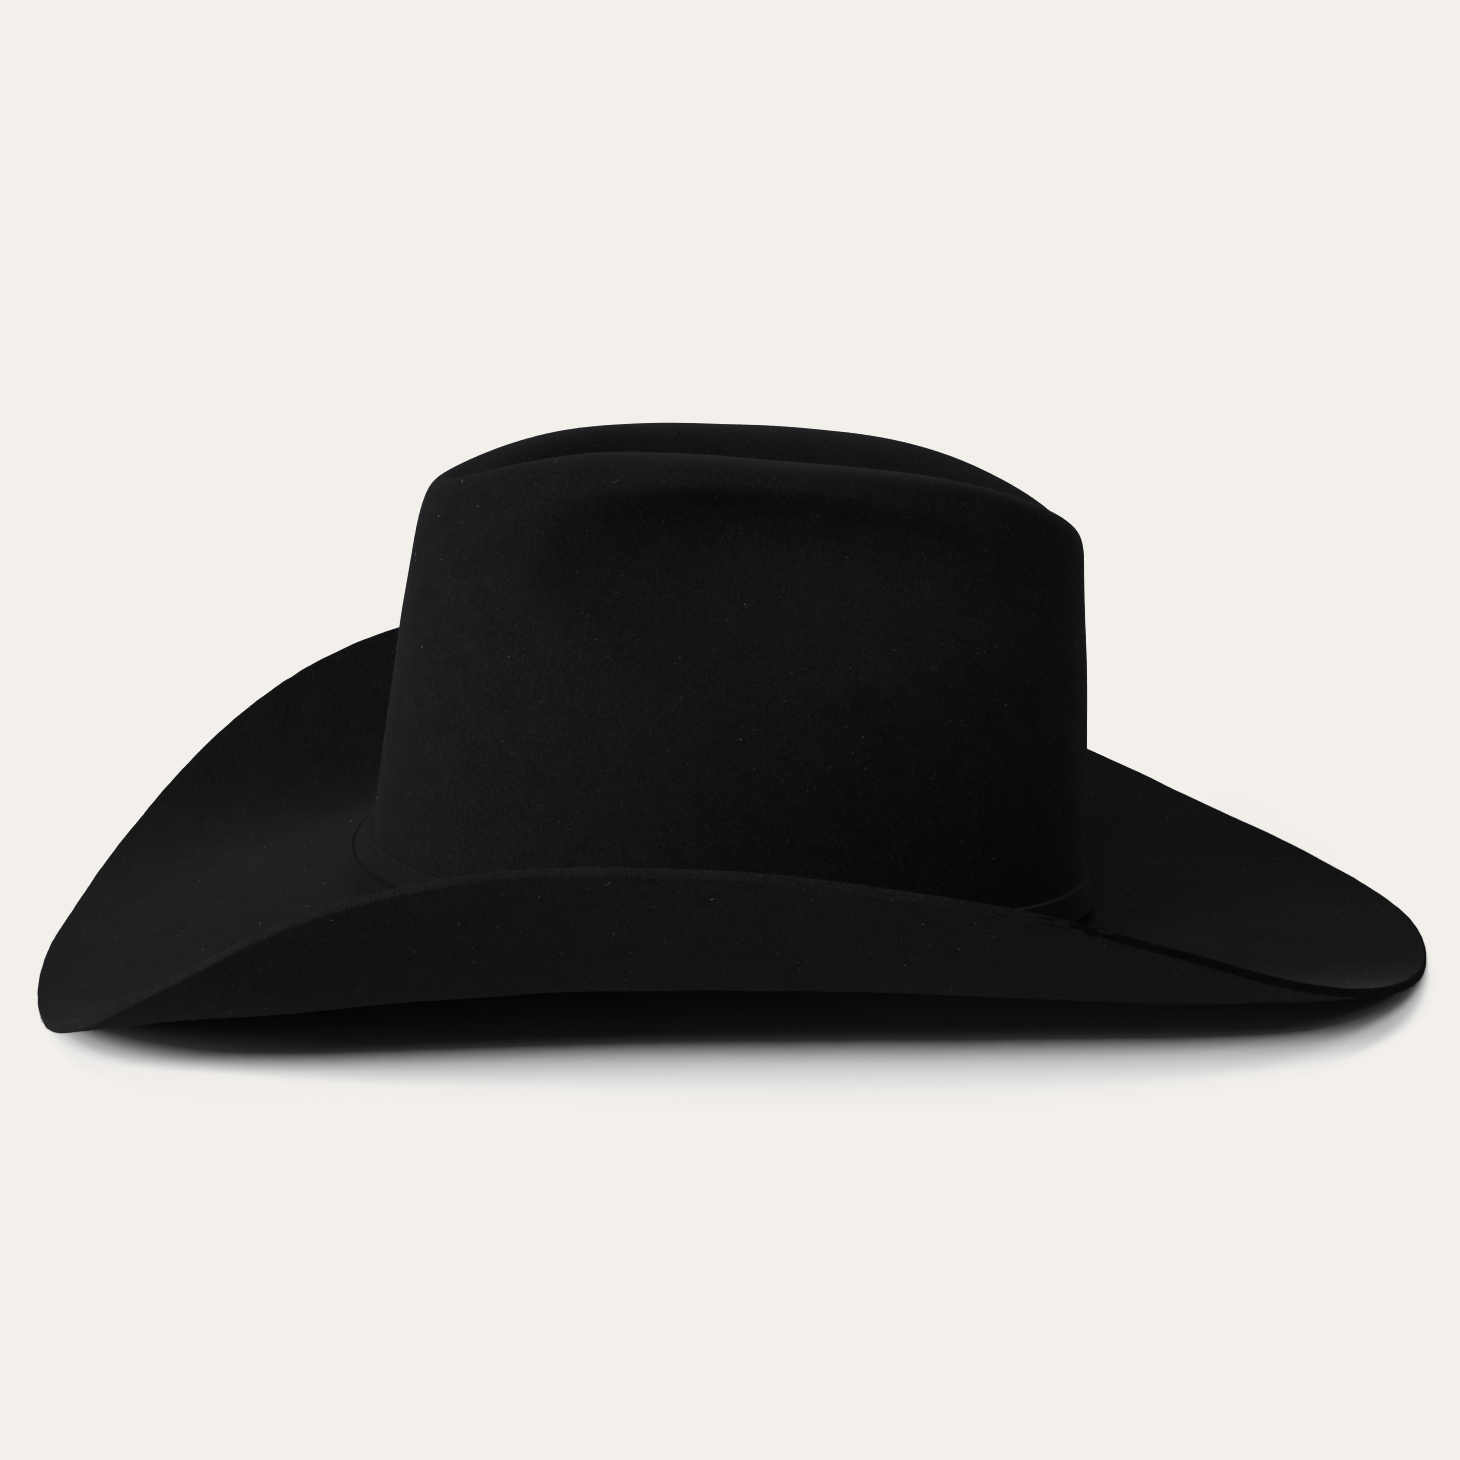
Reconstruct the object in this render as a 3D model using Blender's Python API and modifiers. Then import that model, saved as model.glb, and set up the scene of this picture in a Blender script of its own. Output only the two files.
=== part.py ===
"""Western felt hat as separate pieces: felt body, hat band, sweatband and lining.

Metres, +Z up, the ground at z = 0. The front of the hat faces -Y and the wearer's left is +X.
Angles run round the hat from the front (0) by the left side to the back (pi).
"""
import math

import bmesh
import bpy
import numpy as np
from mathutils import Vector

# Facets round the hat, shared by every piece so that facing walls stay parallel
COLUMNS = 64
# Rings of facets on the brim, the crown and the lining, and sides of the round cords
BRIM_STEPS = 9
CROWN_STEPS = 21
LINING_WALL_STEPS = 4
LINING_TIP_STEPS = 14
CORD_SIDES = 6
# Corners closer than this become one
MERGE = 1e-6
# Turn used to find which way a ring faces
SMALL_TURN = 0.01
# A point under the hat, where the wearer's head would be
HEAD = Vector((0.0, 0.0, -0.3))

# Felt body: the foot of the crown is an oval that leans back, as the brim's two ends stand on the ground
FELT = 0.0025
OVAL_POWER = 2.15
CROWN_TILT = math.radians(4.6)
CROWN_FOOT_Y = -0.0036
CROWN_FOOT_Z = 0.0187
FOOT_FILLET = 0.006

# Brim edge every 22.5 degrees from front to back: half width, then height of the upper face
BRIM_HALF_LENGTH = 0.2036
BRIM_HALF_WIDTH = (0.0, 0.0875, 0.136, 0.154, 0.166, 0.155, 0.119, 0.063, 0.0)
BRIM_EDGE_HEIGHT = (0.0005, 0.0132, 0.0472, 0.0699, 0.0685, 0.0475, 0.0196, 0.0052, 0.0006)
# Brim every 45 degrees: slope where it leaves the crown, and the power of its upward roll
BRIM_SLOPE = (-0.30, -0.26, -0.07, -0.17, -0.05)
BRIM_ROLL = (2.1, 2.65, 2.1, 2.2, 2.1)
# Share of the way from the crown to the edge: innermost ring, and the outer end of the fillet
BRIM_INNER_REACH = 0.14
FILLET_REACH = 0.067
# The felt flattens where it lies on the ground
REST_SINK = 0.0004
REST_SOFTNESS = 0.0008
GROUND_SIZE = 0.6
GROUND_DEPTH = 0.02

# Crown control rings from foot to crease, measured from the crown's foot:
# height at front, side and back; reach at front, half width, reach at back;
# narrowing toward the front; power of the change from side to end
CROWN_RINGS = (
    (0.000, 0.004, 0.000, 0.1062, 0.0875, 0.1053, 0.00, 2.0),
    (0.022, 0.025, 0.022, 0.1054, 0.0855, 0.1034, 0.00, 2.0),
    (0.056, 0.058, 0.056, 0.1024, 0.0810, 0.1020, 0.00, 2.0),
    (0.090, 0.088, 0.088, 0.0997, 0.0660, 0.0973, 0.05, 2.0),
    (0.117, 0.126, 0.100, 0.0960, 0.0530, 0.0960, 0.10, 2.0),
    (0.113, 0.131, 0.115, 0.0870, 0.0470, 0.0940, 0.40, 4.0),
    (0.117, 0.131, 0.113, 0.0740, 0.0230, 0.0760, 0.15, 3.0),
    (0.108, 0.111, 0.109, 0.0620, 0.0080, 0.0620, 0.00, 2.0),
    (0.106, 0.108, 0.108, 0.0580, 0.0000, 0.0580, 0.00, 2.0),
)
# How far each ring moves in plan and in height for a piece set inside the crown
RING_INSET = ((1, 0), (1, 0), (1, 0), (1, 0), (1, 0.5), (0.7, 1), (0, 1.1), (0, 1.2), (0, 1.2))
# Hollow pinched into each side below the ridge: its middle and its reach in height are counted in control
# rings, its reach round the hat is shorter toward the front, and the powers round off its two outlines
DENT_DEPTH = 0.0168
DENT_RING = 3.4
DENT_HALF_RINGS = 0.95
DENT_ANGLE = math.radians(81)
DENT_FRONT_REACH = math.radians(40)
DENT_BACK_REACH = math.radians(64)
DENT_POWER = 2.0

# Hat band: a strip of the same felt that leans out at its foot. From front to back: height above the
# crown's foot of its lower and upper edges, then how far its outer face stands off the crown there
BAND_FOOT = (0.0042, 0.0050, 0.0050)
BAND_TOP = (0.0108, 0.0127, 0.0127)
BAND_FOOT_OUT = (0.0060, 0.0055, 0.0044, 0.0036, 0.0034)
BAND_TOP_OUT = (0.0017, 0.0029, 0.0017)
BAND_THICK = 0.0014
KEEPER_ANGLE = math.pi / 2.0
KEEPER_LENGTH = 0.011
KEEPER_THICK = 0.0008
KEEPER_GAP = 0.0003

# Sweatband: leather strip, its reed and the tape that holds the reed
LEATHER = 0.0013
SWEATBAND_HEIGHTS = (0.0010, 0.012, 0.028, 0.057)
SWEATBAND_INSETS = (0.0034, 0.0044, 0.0072, 0.0090)
REED_INSET = 0.0046
REED_RADIUS = 0.0008
REED_HEIGHT = -0.0009
TAPE_TOP = 0.0007
TAPE_FLOOR = -0.00235
TAPE_HALF_TOP = 0.00165
TAPE_HALF_FLOOR = 0.0014
TAPE_WALL = 0.0004
TAB_WIDTH = 0.014
TAB_HEIGHTS = (0.004, 0.012, 0.028, 0.054)
TAB_THICK = 0.0009
# Gap between the pieces of the back trim, and reach of the sweatband's back from the hat's middle
TRIM_GAP = 0.0004
BACK_REACH = 0.0985
BOW_STAND_OFF = 0.0006
BOW_WIDTH = 0.030
BOW_HEIGHT = 0.013
BOW_WAIST = 0.0045
BOW_THICK = 0.0014
BOW_MIDDLE = 0.018
# Right half of the bow from its waist to its end, in shares of its half width and half height
BOW_OUTLINE = ((0.5, 0.85), (0.9, 1.0), (1.0, 0.45))
KNOT_WIDTH = 0.006
KNOT_HEIGHT = 0.0085
KNOT_THICK = 0.0022
KNOT_CORNER = 0.0015

# Lining: satin wall and tip, sewn together under a piping
SATIN = 0.0005
LINING_INSET = 0.0062
LINING_FOOT = 0.034
LINING_SEAM = 0.080
LINING_SEAM_GAP = 0.0004
PIPING_RADIUS = 0.0008
PIPING_GAP = 0.0004

COLOURS = {
    "felt": ((0.012, 0.012, 0.014), 0.95),
    "leather": ((0.085, 0.040, 0.020), 0.55),
    "tape": ((0.030, 0.028, 0.028), 0.85),
    "reed": ((0.450, 0.420, 0.360), 0.45),
    "ribbon": ((0.020, 0.020, 0.024), 0.40),
    "satin": ((0.055, 0.055, 0.062), 0.35),
}


def round_hat(values, angle, wave):
    """Smooth curve round the hat through values at equal steps from front to back."""
    steps = np.linspace(0.0, math.pi, len(values))
    orders = np.arange(len(values))
    weights = np.linalg.lstsq(wave(np.outer(steps, orders)), values, rcond=1e-9)[0]
    return wave(np.outer(angle, orders)) @ weights


def oval(angle, front, half_width, back):
    """Plan of a ring: across the hat, and along it toward the back."""
    cosine = np.cos(angle)
    sine = np.sin(angle)
    scale = (np.abs(cosine) ** OVAL_POWER + np.abs(sine) ** OVAL_POWER) ** (-1.0 / OVAL_POWER)
    along = np.where(cosine > 0.0, -front, -back) * cosine * scale
    return half_width * sine * scale, along


def crown_control(angle, inset):
    """Control rings of the crown, moved inward by an inset."""
    rings = []
    for ring, (in_plan, in_height) in zip(CROWN_RINGS, RING_INSET):
        front_up, side_up, back_up, front, width, back, egg, power = ring
        plan = inset * in_plan
        across, along = oval(angle, front - plan, max(width - plan, 0.0), back - plan)
        cosine = np.cos(angle)
        end_up = np.where(cosine > 0.0, front_up, back_up)
        up = side_up + (end_up - side_up) * np.abs(cosine) ** power - inset * in_height
        rings.append(np.stack([across * (1.0 - egg * cosine), along, up], axis=-1))
    return np.array(rings)


def dent(angle, place):
    """Depth of the side hollows at places counted in control rings."""
    turn = np.abs((angle + math.pi) % (2.0 * math.pi) - math.pi)
    reach = np.where(turn < DENT_ANGLE, DENT_FRONT_REACH, DENT_BACK_REACH)
    along = (turn - DENT_ANGLE) / reach
    above = (place - DENT_RING) / DENT_HALF_RINGS
    inside = np.clip(1.0 - along[None, :] ** 2 - above[:, None] ** 2, 0.0, None)
    return np.sign(np.sin(angle)) * DENT_DEPTH * inside ** DENT_POWER


def crown(angle, steps, inset=0.0):
    """Rings of the crown wall and top in the crown's own frame, by B-spline from foot (0) to crease (1)."""
    control = crown_control(angle, inset)
    first = 2.0 * control[0] - control[1]
    last = 2.0 * control[-1] - control[-2]
    control = np.concatenate([first[None], control, last[None]])
    spans = len(CROWN_RINGS) - 1
    place = np.asarray(steps) * spans
    span = np.minimum(place.astype(int), spans - 1)
    t = (place - span)[:, None, None]
    points = (1.0 - t) ** 3 / 6.0 * control[span]
    points += (3.0 * t ** 3 - 6.0 * t ** 2 + 4.0) / 6.0 * control[span + 1]
    points += (-3.0 * t ** 3 + 3.0 * t ** 2 + 3.0 * t + 1.0) / 6.0 * control[span + 2]
    points += t ** 3 / 6.0 * control[span + 3]
    points[..., 0] -= dent(angle, place)
    return points


def step_at(height):
    """Step of the crown's B-spline at a height on its front wall."""
    steps = np.linspace(0.0, 0.5, 501)
    heights = crown(np.zeros(1), steps)[:, 0, 2]
    return float(np.interp(height, heights, steps))


def cord_turns():
    """Angles of the corners of a round cord's section."""
    return np.arange(CORD_SIDES) * 2.0 * math.pi / CORD_SIDES


def wall(angle, height, inset):
    """Ring on the crown wall at a height above its foot, moved inward in plan by an inset."""
    step = [step_at(max(height, 0.0))]
    ring = crown(angle, step)[0]
    run = crown(angle + SMALL_TURN, step)[0] - crown(angle - SMALL_TURN, step)[0]
    inward = np.stack([-run[:, 1], run[:, 0]], axis=-1)
    inward /= np.linalg.norm(inward, axis=1, keepdims=True)
    ring[:, :2] += inward * inset
    ring[:, 2] += min(height, 0.0)
    return ring


def skirt(angle, heights, outs):
    """Ring round the crown whose height and distance out from the wall change with the angle."""
    places = zip(np.reshape(angle, (-1, 1)), heights, outs)
    return np.concatenate([wall(place, height, -out) for place, height, out in places])


def stand(points):
    """Move points from the crown's frame to the hat as it stands on the ground."""
    cosine = math.cos(CROWN_TILT)
    sine = math.sin(CROWN_TILT)
    stood = np.empty_like(points)
    stood[..., 0] = points[..., 0]
    stood[..., 1] = points[..., 1] * cosine + points[..., 2] * sine + CROWN_FOOT_Y
    stood[..., 2] = points[..., 2] * cosine - points[..., 1] * sine + CROWN_FOOT_Z
    return stood


def brim(angle, reaches):
    """Rings of the brim's upper face, as it stands, from the crown's foot (0) to the edge (1)."""
    foot = stand(crown(angle, [0.0]))[0]
    edge_x = round_hat(BRIM_HALF_WIDTH, angle, np.sin)
    edge_y = -BRIM_HALF_LENGTH * np.cos(angle)
    rise = round_hat(BRIM_EDGE_HEIGHT, angle, np.cos) - foot[:, 2]
    width = np.hypot(edge_x - foot[:, 0], edge_y - foot[:, 1])
    lean = round_hat(BRIM_SLOPE, angle, np.cos) * width
    roll = round_hat(BRIM_ROLL, angle, np.cos)
    rings = []
    for reach in reaches:
        x = foot[:, 0] + (edge_x - foot[:, 0]) * reach
        y = foot[:, 1] + (edge_y - foot[:, 1]) * reach
        z = foot[:, 2] + lean * reach + (rise - lean) * reach ** roll
        floor = FELT - REST_SINK
        z = floor + REST_SOFTNESS * np.logaddexp(0.0, (z - floor) / REST_SOFTNESS)
        rings.append(np.stack([x, y, z], axis=-1))
    return np.array(rings)


def turns():
    """Angles of the columns round the hat."""
    return np.arange(COLUMNS) * 2.0 * math.pi / COLUMNS


def material_for(name, colour):
    """Principled material of a piece."""
    material = bpy.data.materials.new(f"{colour}_for_{name}")
    material.use_nodes = True
    shader = material.node_tree.nodes["Principled BSDF"]
    base, roughness = COLOURS[colour]
    shader.inputs["Base Color"].default_value = (*base, 1.0)
    shader.inputs["Roughness"].default_value = roughness
    return material


def loft(name, rings, colour, home, closed=True):
    """Skin a stack of closed rings by wrapping a grid onto them.

    closed joins the last ring to the first, for a ring-shaped solid; otherwise the skin stays open.
    """
    rings = np.asarray(rings)
    if closed:
        rings = np.concatenate([rings, rings[:1]])
    rows, columns = rings.shape[0] - 1, rings.shape[1]
    mesh = bmesh.new()
    bmesh.ops.create_grid(mesh, x_segments=rows, y_segments=columns, size=1.0)
    for vertex in mesh.verts:
        row = round((vertex.co.x + 1.0) / 2.0 * rows)
        column = round((vertex.co.y + 1.0) / 2.0 * columns) % columns
        vertex.co = rings[row][column]
    bmesh.ops.remove_doubles(mesh, verts=mesh.verts, dist=MERGE)
    bmesh.ops.dissolve_degenerate(mesh, edges=mesh.edges, dist=MERGE)
    bmesh.ops.recalc_face_normals(mesh, faces=mesh.faces)
    data = bpy.data.meshes.new(name)
    mesh.to_mesh(data)
    mesh.free()
    piece = bpy.data.objects.new(name, data)
    data.materials.append(material_for(name, colour))
    home.objects.link(piece)
    return piece


def thicken(piece, thickness, offset, even=True):
    """Give an open skin its thickness; even keeps it the same through folds."""
    shell = piece.modifiers.new("thickness", "SOLIDIFY")
    shell.thickness = thickness
    shell.offset = offset
    shell.use_even_offset = even
    shell.use_quality_normals = True


def face_away(piece):
    """Make an open skin's normals point away from the wearer's head."""
    mesh = bmesh.new()
    mesh.from_mesh(piece.data)
    spread = 0.0
    for face in mesh.faces:
        spread += face.calc_area() * face.normal.dot(face.calc_center_median() - HEAD)
    if spread < 0.0:
        bmesh.ops.reverse_faces(mesh, faces=mesh.faces)
    mesh.to_mesh(piece.data)
    mesh.free()


def ground_cutter(cutters):
    """Block that fills the space below the ground."""
    data = bpy.data.meshes.new("ground_cutter")
    block = bmesh.new()
    bmesh.ops.create_cube(block, size=1.0)
    block.to_mesh(data)
    block.free()
    cutter = bpy.data.objects.new("ground_cutter", data)
    cutter.scale = (GROUND_SIZE, GROUND_SIZE, GROUND_DEPTH)
    cutter.location = (0.0, 0.0, -GROUND_DEPTH / 2.0)
    cutter.hide_render = True
    cutter.display_type = "WIRE"
    cutters.objects.link(cutter)
    return cutter


def build_felt_body(home, cutters):
    """Crown and brim in one piece of felt, flat where it rests on the ground."""
    angle = turns()
    reaches = np.linspace(1.0, BRIM_INNER_REACH, BRIM_STEPS)
    brim_rings = brim(angle, list(reaches) + [FILLET_REACH])
    foot = stand(crown(angle, [0.0]))[0]
    start = step_at(FOOT_FILLET)
    wall_rings = stand(crown(angle, np.linspace(start, 1.0, CROWN_STEPS)))
    # Middle of the fillet, which is a parabola from the brim to the wall
    turn = (brim_rings[-1] + 2.0 * foot + wall_rings[0]) / 4.0
    rings = np.concatenate([brim_rings, turn[None], wall_rings])
    body = loft("felt_body", rings, "felt", home, closed=False)
    face_away(body)
    thicken(body, FELT, -1.0)
    flat = body.modifiers.new("rest faces", "BOOLEAN")
    flat.operation = "DIFFERENCE"
    flat.solver = "EXACT"
    flat.object = ground_cutter(cutters)


def band_corners(angle, gap):
    """Height and distance out of the hat band's four corners, each moved away from its section by a gap."""
    foot = round_hat(BAND_FOOT, angle, np.cos) - gap
    top = round_hat(BAND_TOP, angle, np.cos) + gap
    foot_out = round_hat(BAND_FOOT_OUT, angle, np.cos)
    top_out = round_hat(BAND_TOP_OUT, angle, np.cos)
    inner = BAND_THICK + gap
    return ((foot, foot_out - inner), (foot, foot_out + gap), (top, top_out + gap), (top, top_out - inner))


def build_hat_band(home):
    """Felt strip round the foot of the crown, and the loop that keeps its overlapped ends together."""
    rings = [stand(skirt(turns(), height, out)) for height, out in band_corners(turns(), 0.0)]
    set_origin(loft("hat_band", rings, "felt", home))
    half = KEEPER_LENGTH / 2.0 / CROWN_RINGS[0][4]
    outside = KEEPER_GAP + KEEPER_THICK
    rows = []
    for turn, gap in ((-half, outside), (half, outside), (half, KEEPER_GAP), (-half, KEEPER_GAP)):
        place = np.array([KEEPER_ANGLE + turn])
        rows.append([stand(skirt(place, height, out))[0] for height, out in band_corners(place, gap)])
    set_origin(loft("hat_band_keeper", rows, "felt", home))


def set_origin(piece):
    """Put the piece's origin on the crown's axis, which its lift follows."""
    origin = Vector(stand(np.zeros((1, 3)))[0])
    for vertex in piece.data.vertices:
        vertex.co = vertex.co - origin
    piece.location = origin


def build_sweatband(home):
    """Leather strip inside the crown with its reed, tape, back seam tab and bow."""
    angle = turns()
    levels = list(zip(SWEATBAND_HEIGHTS, SWEATBAND_INSETS))
    outside = [stand(wall(angle, up, inset)) for up, inset in levels]
    inside = [stand(wall(angle, up, inset + LEATHER)) for up, inset in levels]
    loft("sweatband", outside + inside[::-1], "leather", home)

    tape = ((TAPE_TOP, -TAPE_HALF_TOP), (TAPE_FLOOR, -TAPE_HALF_FLOOR),
            (TAPE_FLOOR, TAPE_HALF_FLOOR), (TAPE_TOP, TAPE_HALF_TOP),
            (TAPE_TOP, TAPE_HALF_TOP - TAPE_WALL), (TAPE_FLOOR + TAPE_WALL, TAPE_HALF_FLOOR - TAPE_WALL),
            (TAPE_FLOOR + TAPE_WALL, TAPE_WALL - TAPE_HALF_FLOOR), (TAPE_TOP, TAPE_WALL - TAPE_HALF_TOP))
    rings = [stand(wall(angle, up, REED_INSET + inset)) for up, inset in tape]
    loft("sweatband_tape", rings, "tape", home)

    rings = []
    for turn in cord_turns():
        up = REED_HEIGHT + REED_RADIUS * math.sin(turn)
        rings.append(stand(wall(angle, up, REED_INSET + REED_RADIUS * math.cos(turn))))
    loft("sweatband_reed", rings, "reed", home)

    build_back_trim(home)


def inner_face(height):
    """Inset of the sweatband's inner face at a height."""
    return float(np.interp(height, SWEATBAND_HEIGHTS, SWEATBAND_INSETS)) + LEATHER


def back_point(across, height, depth):
    """Point at the back of the sweatband, a depth in front of its inner face."""
    place = np.array([math.pi - across / BACK_REACH])
    return stand(wall(place, height, inner_face(height) + depth))[0]


def capped(name, rings, colour, home):
    """Closed solid from a stack of rings, with both ends filled."""
    piece = loft(name, rings, colour, home, closed=False)
    mesh = bmesh.new()
    mesh.from_mesh(piece.data)
    bmesh.ops.holes_fill(mesh, edges=[edge for edge in mesh.edges if edge.is_boundary])
    bmesh.ops.triangulate(mesh, faces=[face for face in mesh.faces if len(face.verts) > 4])
    bmesh.ops.recalc_face_normals(mesh, faces=mesh.faces)
    mesh.to_mesh(piece.data)
    mesh.free()


def plate(name, outline, front, back, colour, home):
    """Plate at the back of the sweatband between two depths, from (across, height) corners."""
    rings = [[back_point(across, up, depth) for across, up in outline] for depth in (front, back)]
    capped(name, rings, colour, home)


def build_back_trim(home):
    """Tab over the sweatband's back seam, and the small ribbon bow with its knot."""
    half = TAB_WIDTH / 2.0
    front = TRIM_GAP + TAB_THICK
    tab = ((-half, TRIM_GAP), (half, TRIM_GAP), (half, front), (-half, front))
    rings = [[back_point(across, up, depth) for across, depth in tab] for up in TAB_HEIGHTS]
    capped("sweatband_seam_tab", rings, "leather", home)

    wide, tall = BOW_WIDTH / 2.0, BOW_HEIGHT / 2.0
    rising = tuple((wide * across, BOW_MIDDLE + tall * up) for across, up in BOW_OUTLINE)
    falling = tuple((across, 2.0 * BOW_MIDDLE - up) for across, up in reversed(rising))
    waist = BOW_WAIST / 2.0
    right = ((0.0, BOW_MIDDLE + waist),) + rising + falling + ((0.0, BOW_MIDDLE - waist),)
    left = tuple((-across, up) for across, up in reversed(right[1:-1]))
    back = front + TRIM_GAP + BOW_STAND_OFF
    plate("sweatband_bow", right + left, back, back + BOW_THICK, "ribbon", home)

    wide, tall = KNOT_WIDTH / 2.0, KNOT_HEIGHT / 2.0
    corner = ((wide - KNOT_CORNER, tall), (wide, tall - KNOT_CORNER))
    right = corner + tuple((across, -up) for across, up in reversed(corner))
    left = tuple((-across, up) for across, up in reversed(right))
    knot = tuple((across, BOW_MIDDLE + up) for across, up in right + left)
    back += BOW_THICK + TRIM_GAP
    plate("sweatband_bow_knot", knot, back, back + KNOT_THICK, "ribbon", home)


def build_lining(home):
    """Satin wall and tip inside the crown, with the piping over their seam."""
    angle = turns()
    foot, seam = step_at(LINING_FOOT), step_at(LINING_SEAM)
    gap = step_at(LINING_SEAM + LINING_SEAM_GAP) - seam
    wall_rings = stand(crown(angle, np.linspace(foot, seam, LINING_WALL_STEPS), LINING_INSET))
    side = loft("lining_side", wall_rings, "satin", home, closed=False)
    face_away(side)
    thicken(side, SATIN, 1.0, even=False)
    tip_rings = stand(crown(angle, np.linspace(seam + gap, 1.0, LINING_TIP_STEPS), LINING_INSET))
    tip = loft("lining_tip", tip_rings, "satin", home, closed=False)
    face_away(tip)
    thicken(tip, SATIN, 1.0, even=False)
    reach = LINING_INSET + PIPING_GAP + PIPING_RADIUS
    rings = []
    for turn in cord_turns():
        ring = crown(angle, [seam + gap / 2.0], reach + PIPING_RADIUS * math.cos(turn))[0]
        ring[:, 2] += PIPING_RADIUS * math.sin(turn)
        rings.append(stand(ring))
    loft("lining_piping", rings, "satin", home)


def main():
    """Build every piece of the hat."""
    for old in list(bpy.data.objects):
        bpy.data.objects.remove(old)
    home = bpy.data.collections.new("western_hat")
    cutters = bpy.data.collections.new("cutters")
    bpy.context.scene.collection.children.link(home)
    bpy.context.scene.collection.children.link(cutters)
    build_felt_body(home, cutters)
    build_hat_band(home)
    build_sweatband(home)
    build_lining(home)


main()
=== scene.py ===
"""Black western felt hat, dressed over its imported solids.

Metres, +Z up. The front of the hat faces -Y and the wearer's left is +X.
Angles run round the hat from the front (0) by the left side to the back (pi).
"""
import logging
import math
from dataclasses import dataclass, field, replace
from enum import Enum
from typing import Callable, ClassVar, Sequence

import bpy
import numpy as np
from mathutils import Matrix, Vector
from numpy.typing import NDArray


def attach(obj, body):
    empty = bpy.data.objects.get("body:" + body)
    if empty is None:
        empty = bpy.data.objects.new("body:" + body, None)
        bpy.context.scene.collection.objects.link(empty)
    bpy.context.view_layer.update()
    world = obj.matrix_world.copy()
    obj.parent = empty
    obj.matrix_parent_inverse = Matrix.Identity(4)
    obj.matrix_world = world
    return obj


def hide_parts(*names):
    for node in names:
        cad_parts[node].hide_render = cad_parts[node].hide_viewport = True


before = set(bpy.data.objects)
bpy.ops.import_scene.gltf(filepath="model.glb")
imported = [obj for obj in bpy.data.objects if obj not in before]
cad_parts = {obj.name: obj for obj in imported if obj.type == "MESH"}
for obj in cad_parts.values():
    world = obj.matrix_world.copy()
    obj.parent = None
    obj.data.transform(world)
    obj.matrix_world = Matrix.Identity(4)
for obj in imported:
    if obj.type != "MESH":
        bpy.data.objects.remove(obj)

Points = NDArray[np.float64]
Values = NDArray[np.float64]
Counts = NDArray[np.int64]
Colour = tuple[float, float, float]
Place = tuple[float, float, float]
Socket = bpy.types.NodeSocket
Dice = np.random.Generator

FULL_TURN = 2.0 * math.pi
TINY = 1e-12
PLAN_RADIUS = 0.1
RIPPLE_WAVES = 9
RIPPLE_SPREAD = (0.7, 1.5)
UPRIGHT = 0.9
STITCH_SIDES = 6
STITCH_PROFILE = ((0.0, 0.55), (0.12, 0.95), (0.5, 1.1), (0.88, 0.95), (1.0, 0.55))
HAIR_SIDES = 3
HAIR_WALLS = np.array([[0, 1, 4, 3], [1, 2, 5, 4], [2, 0, 3, 5]])
HAIR_ENDS = np.array([[2, 1, 0], [3, 4, 6], [4, 5, 6], [5, 3, 6]])
HAIR_CURL = 0.35
HAIR_MIDDLE = 0.55
HAIR_MIDDLE_SWAY = 0.3
HAIR_TAPER = 0.8
NAP_RADIUS = (1.5e-5, 3e-5)

log = logging.getLogger("hat")


class Body(Enum):
    """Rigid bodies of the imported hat."""

    HAT = "hat"
    BAND = "hat_band"


class Slot(Enum):
    """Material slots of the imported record."""

    FELT = "felt"
    BAND_FELT = "band_felt"
    LEATHER = "sweat_leather"
    TAPE = "tape"
    REED = "reed"
    RIBBON = "ribbon"
    SATIN = "satin"


class Wave(Enum):
    """Series that carries values round the hat: even for heights, odd for widths."""

    EVEN = "even"
    ODD = "odd"

    def of(self, turn: Values) -> Values:
        """Value of the wave at a turn."""
        return np.cos(turn) if self is Wave.EVEN else np.sin(turn)


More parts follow.
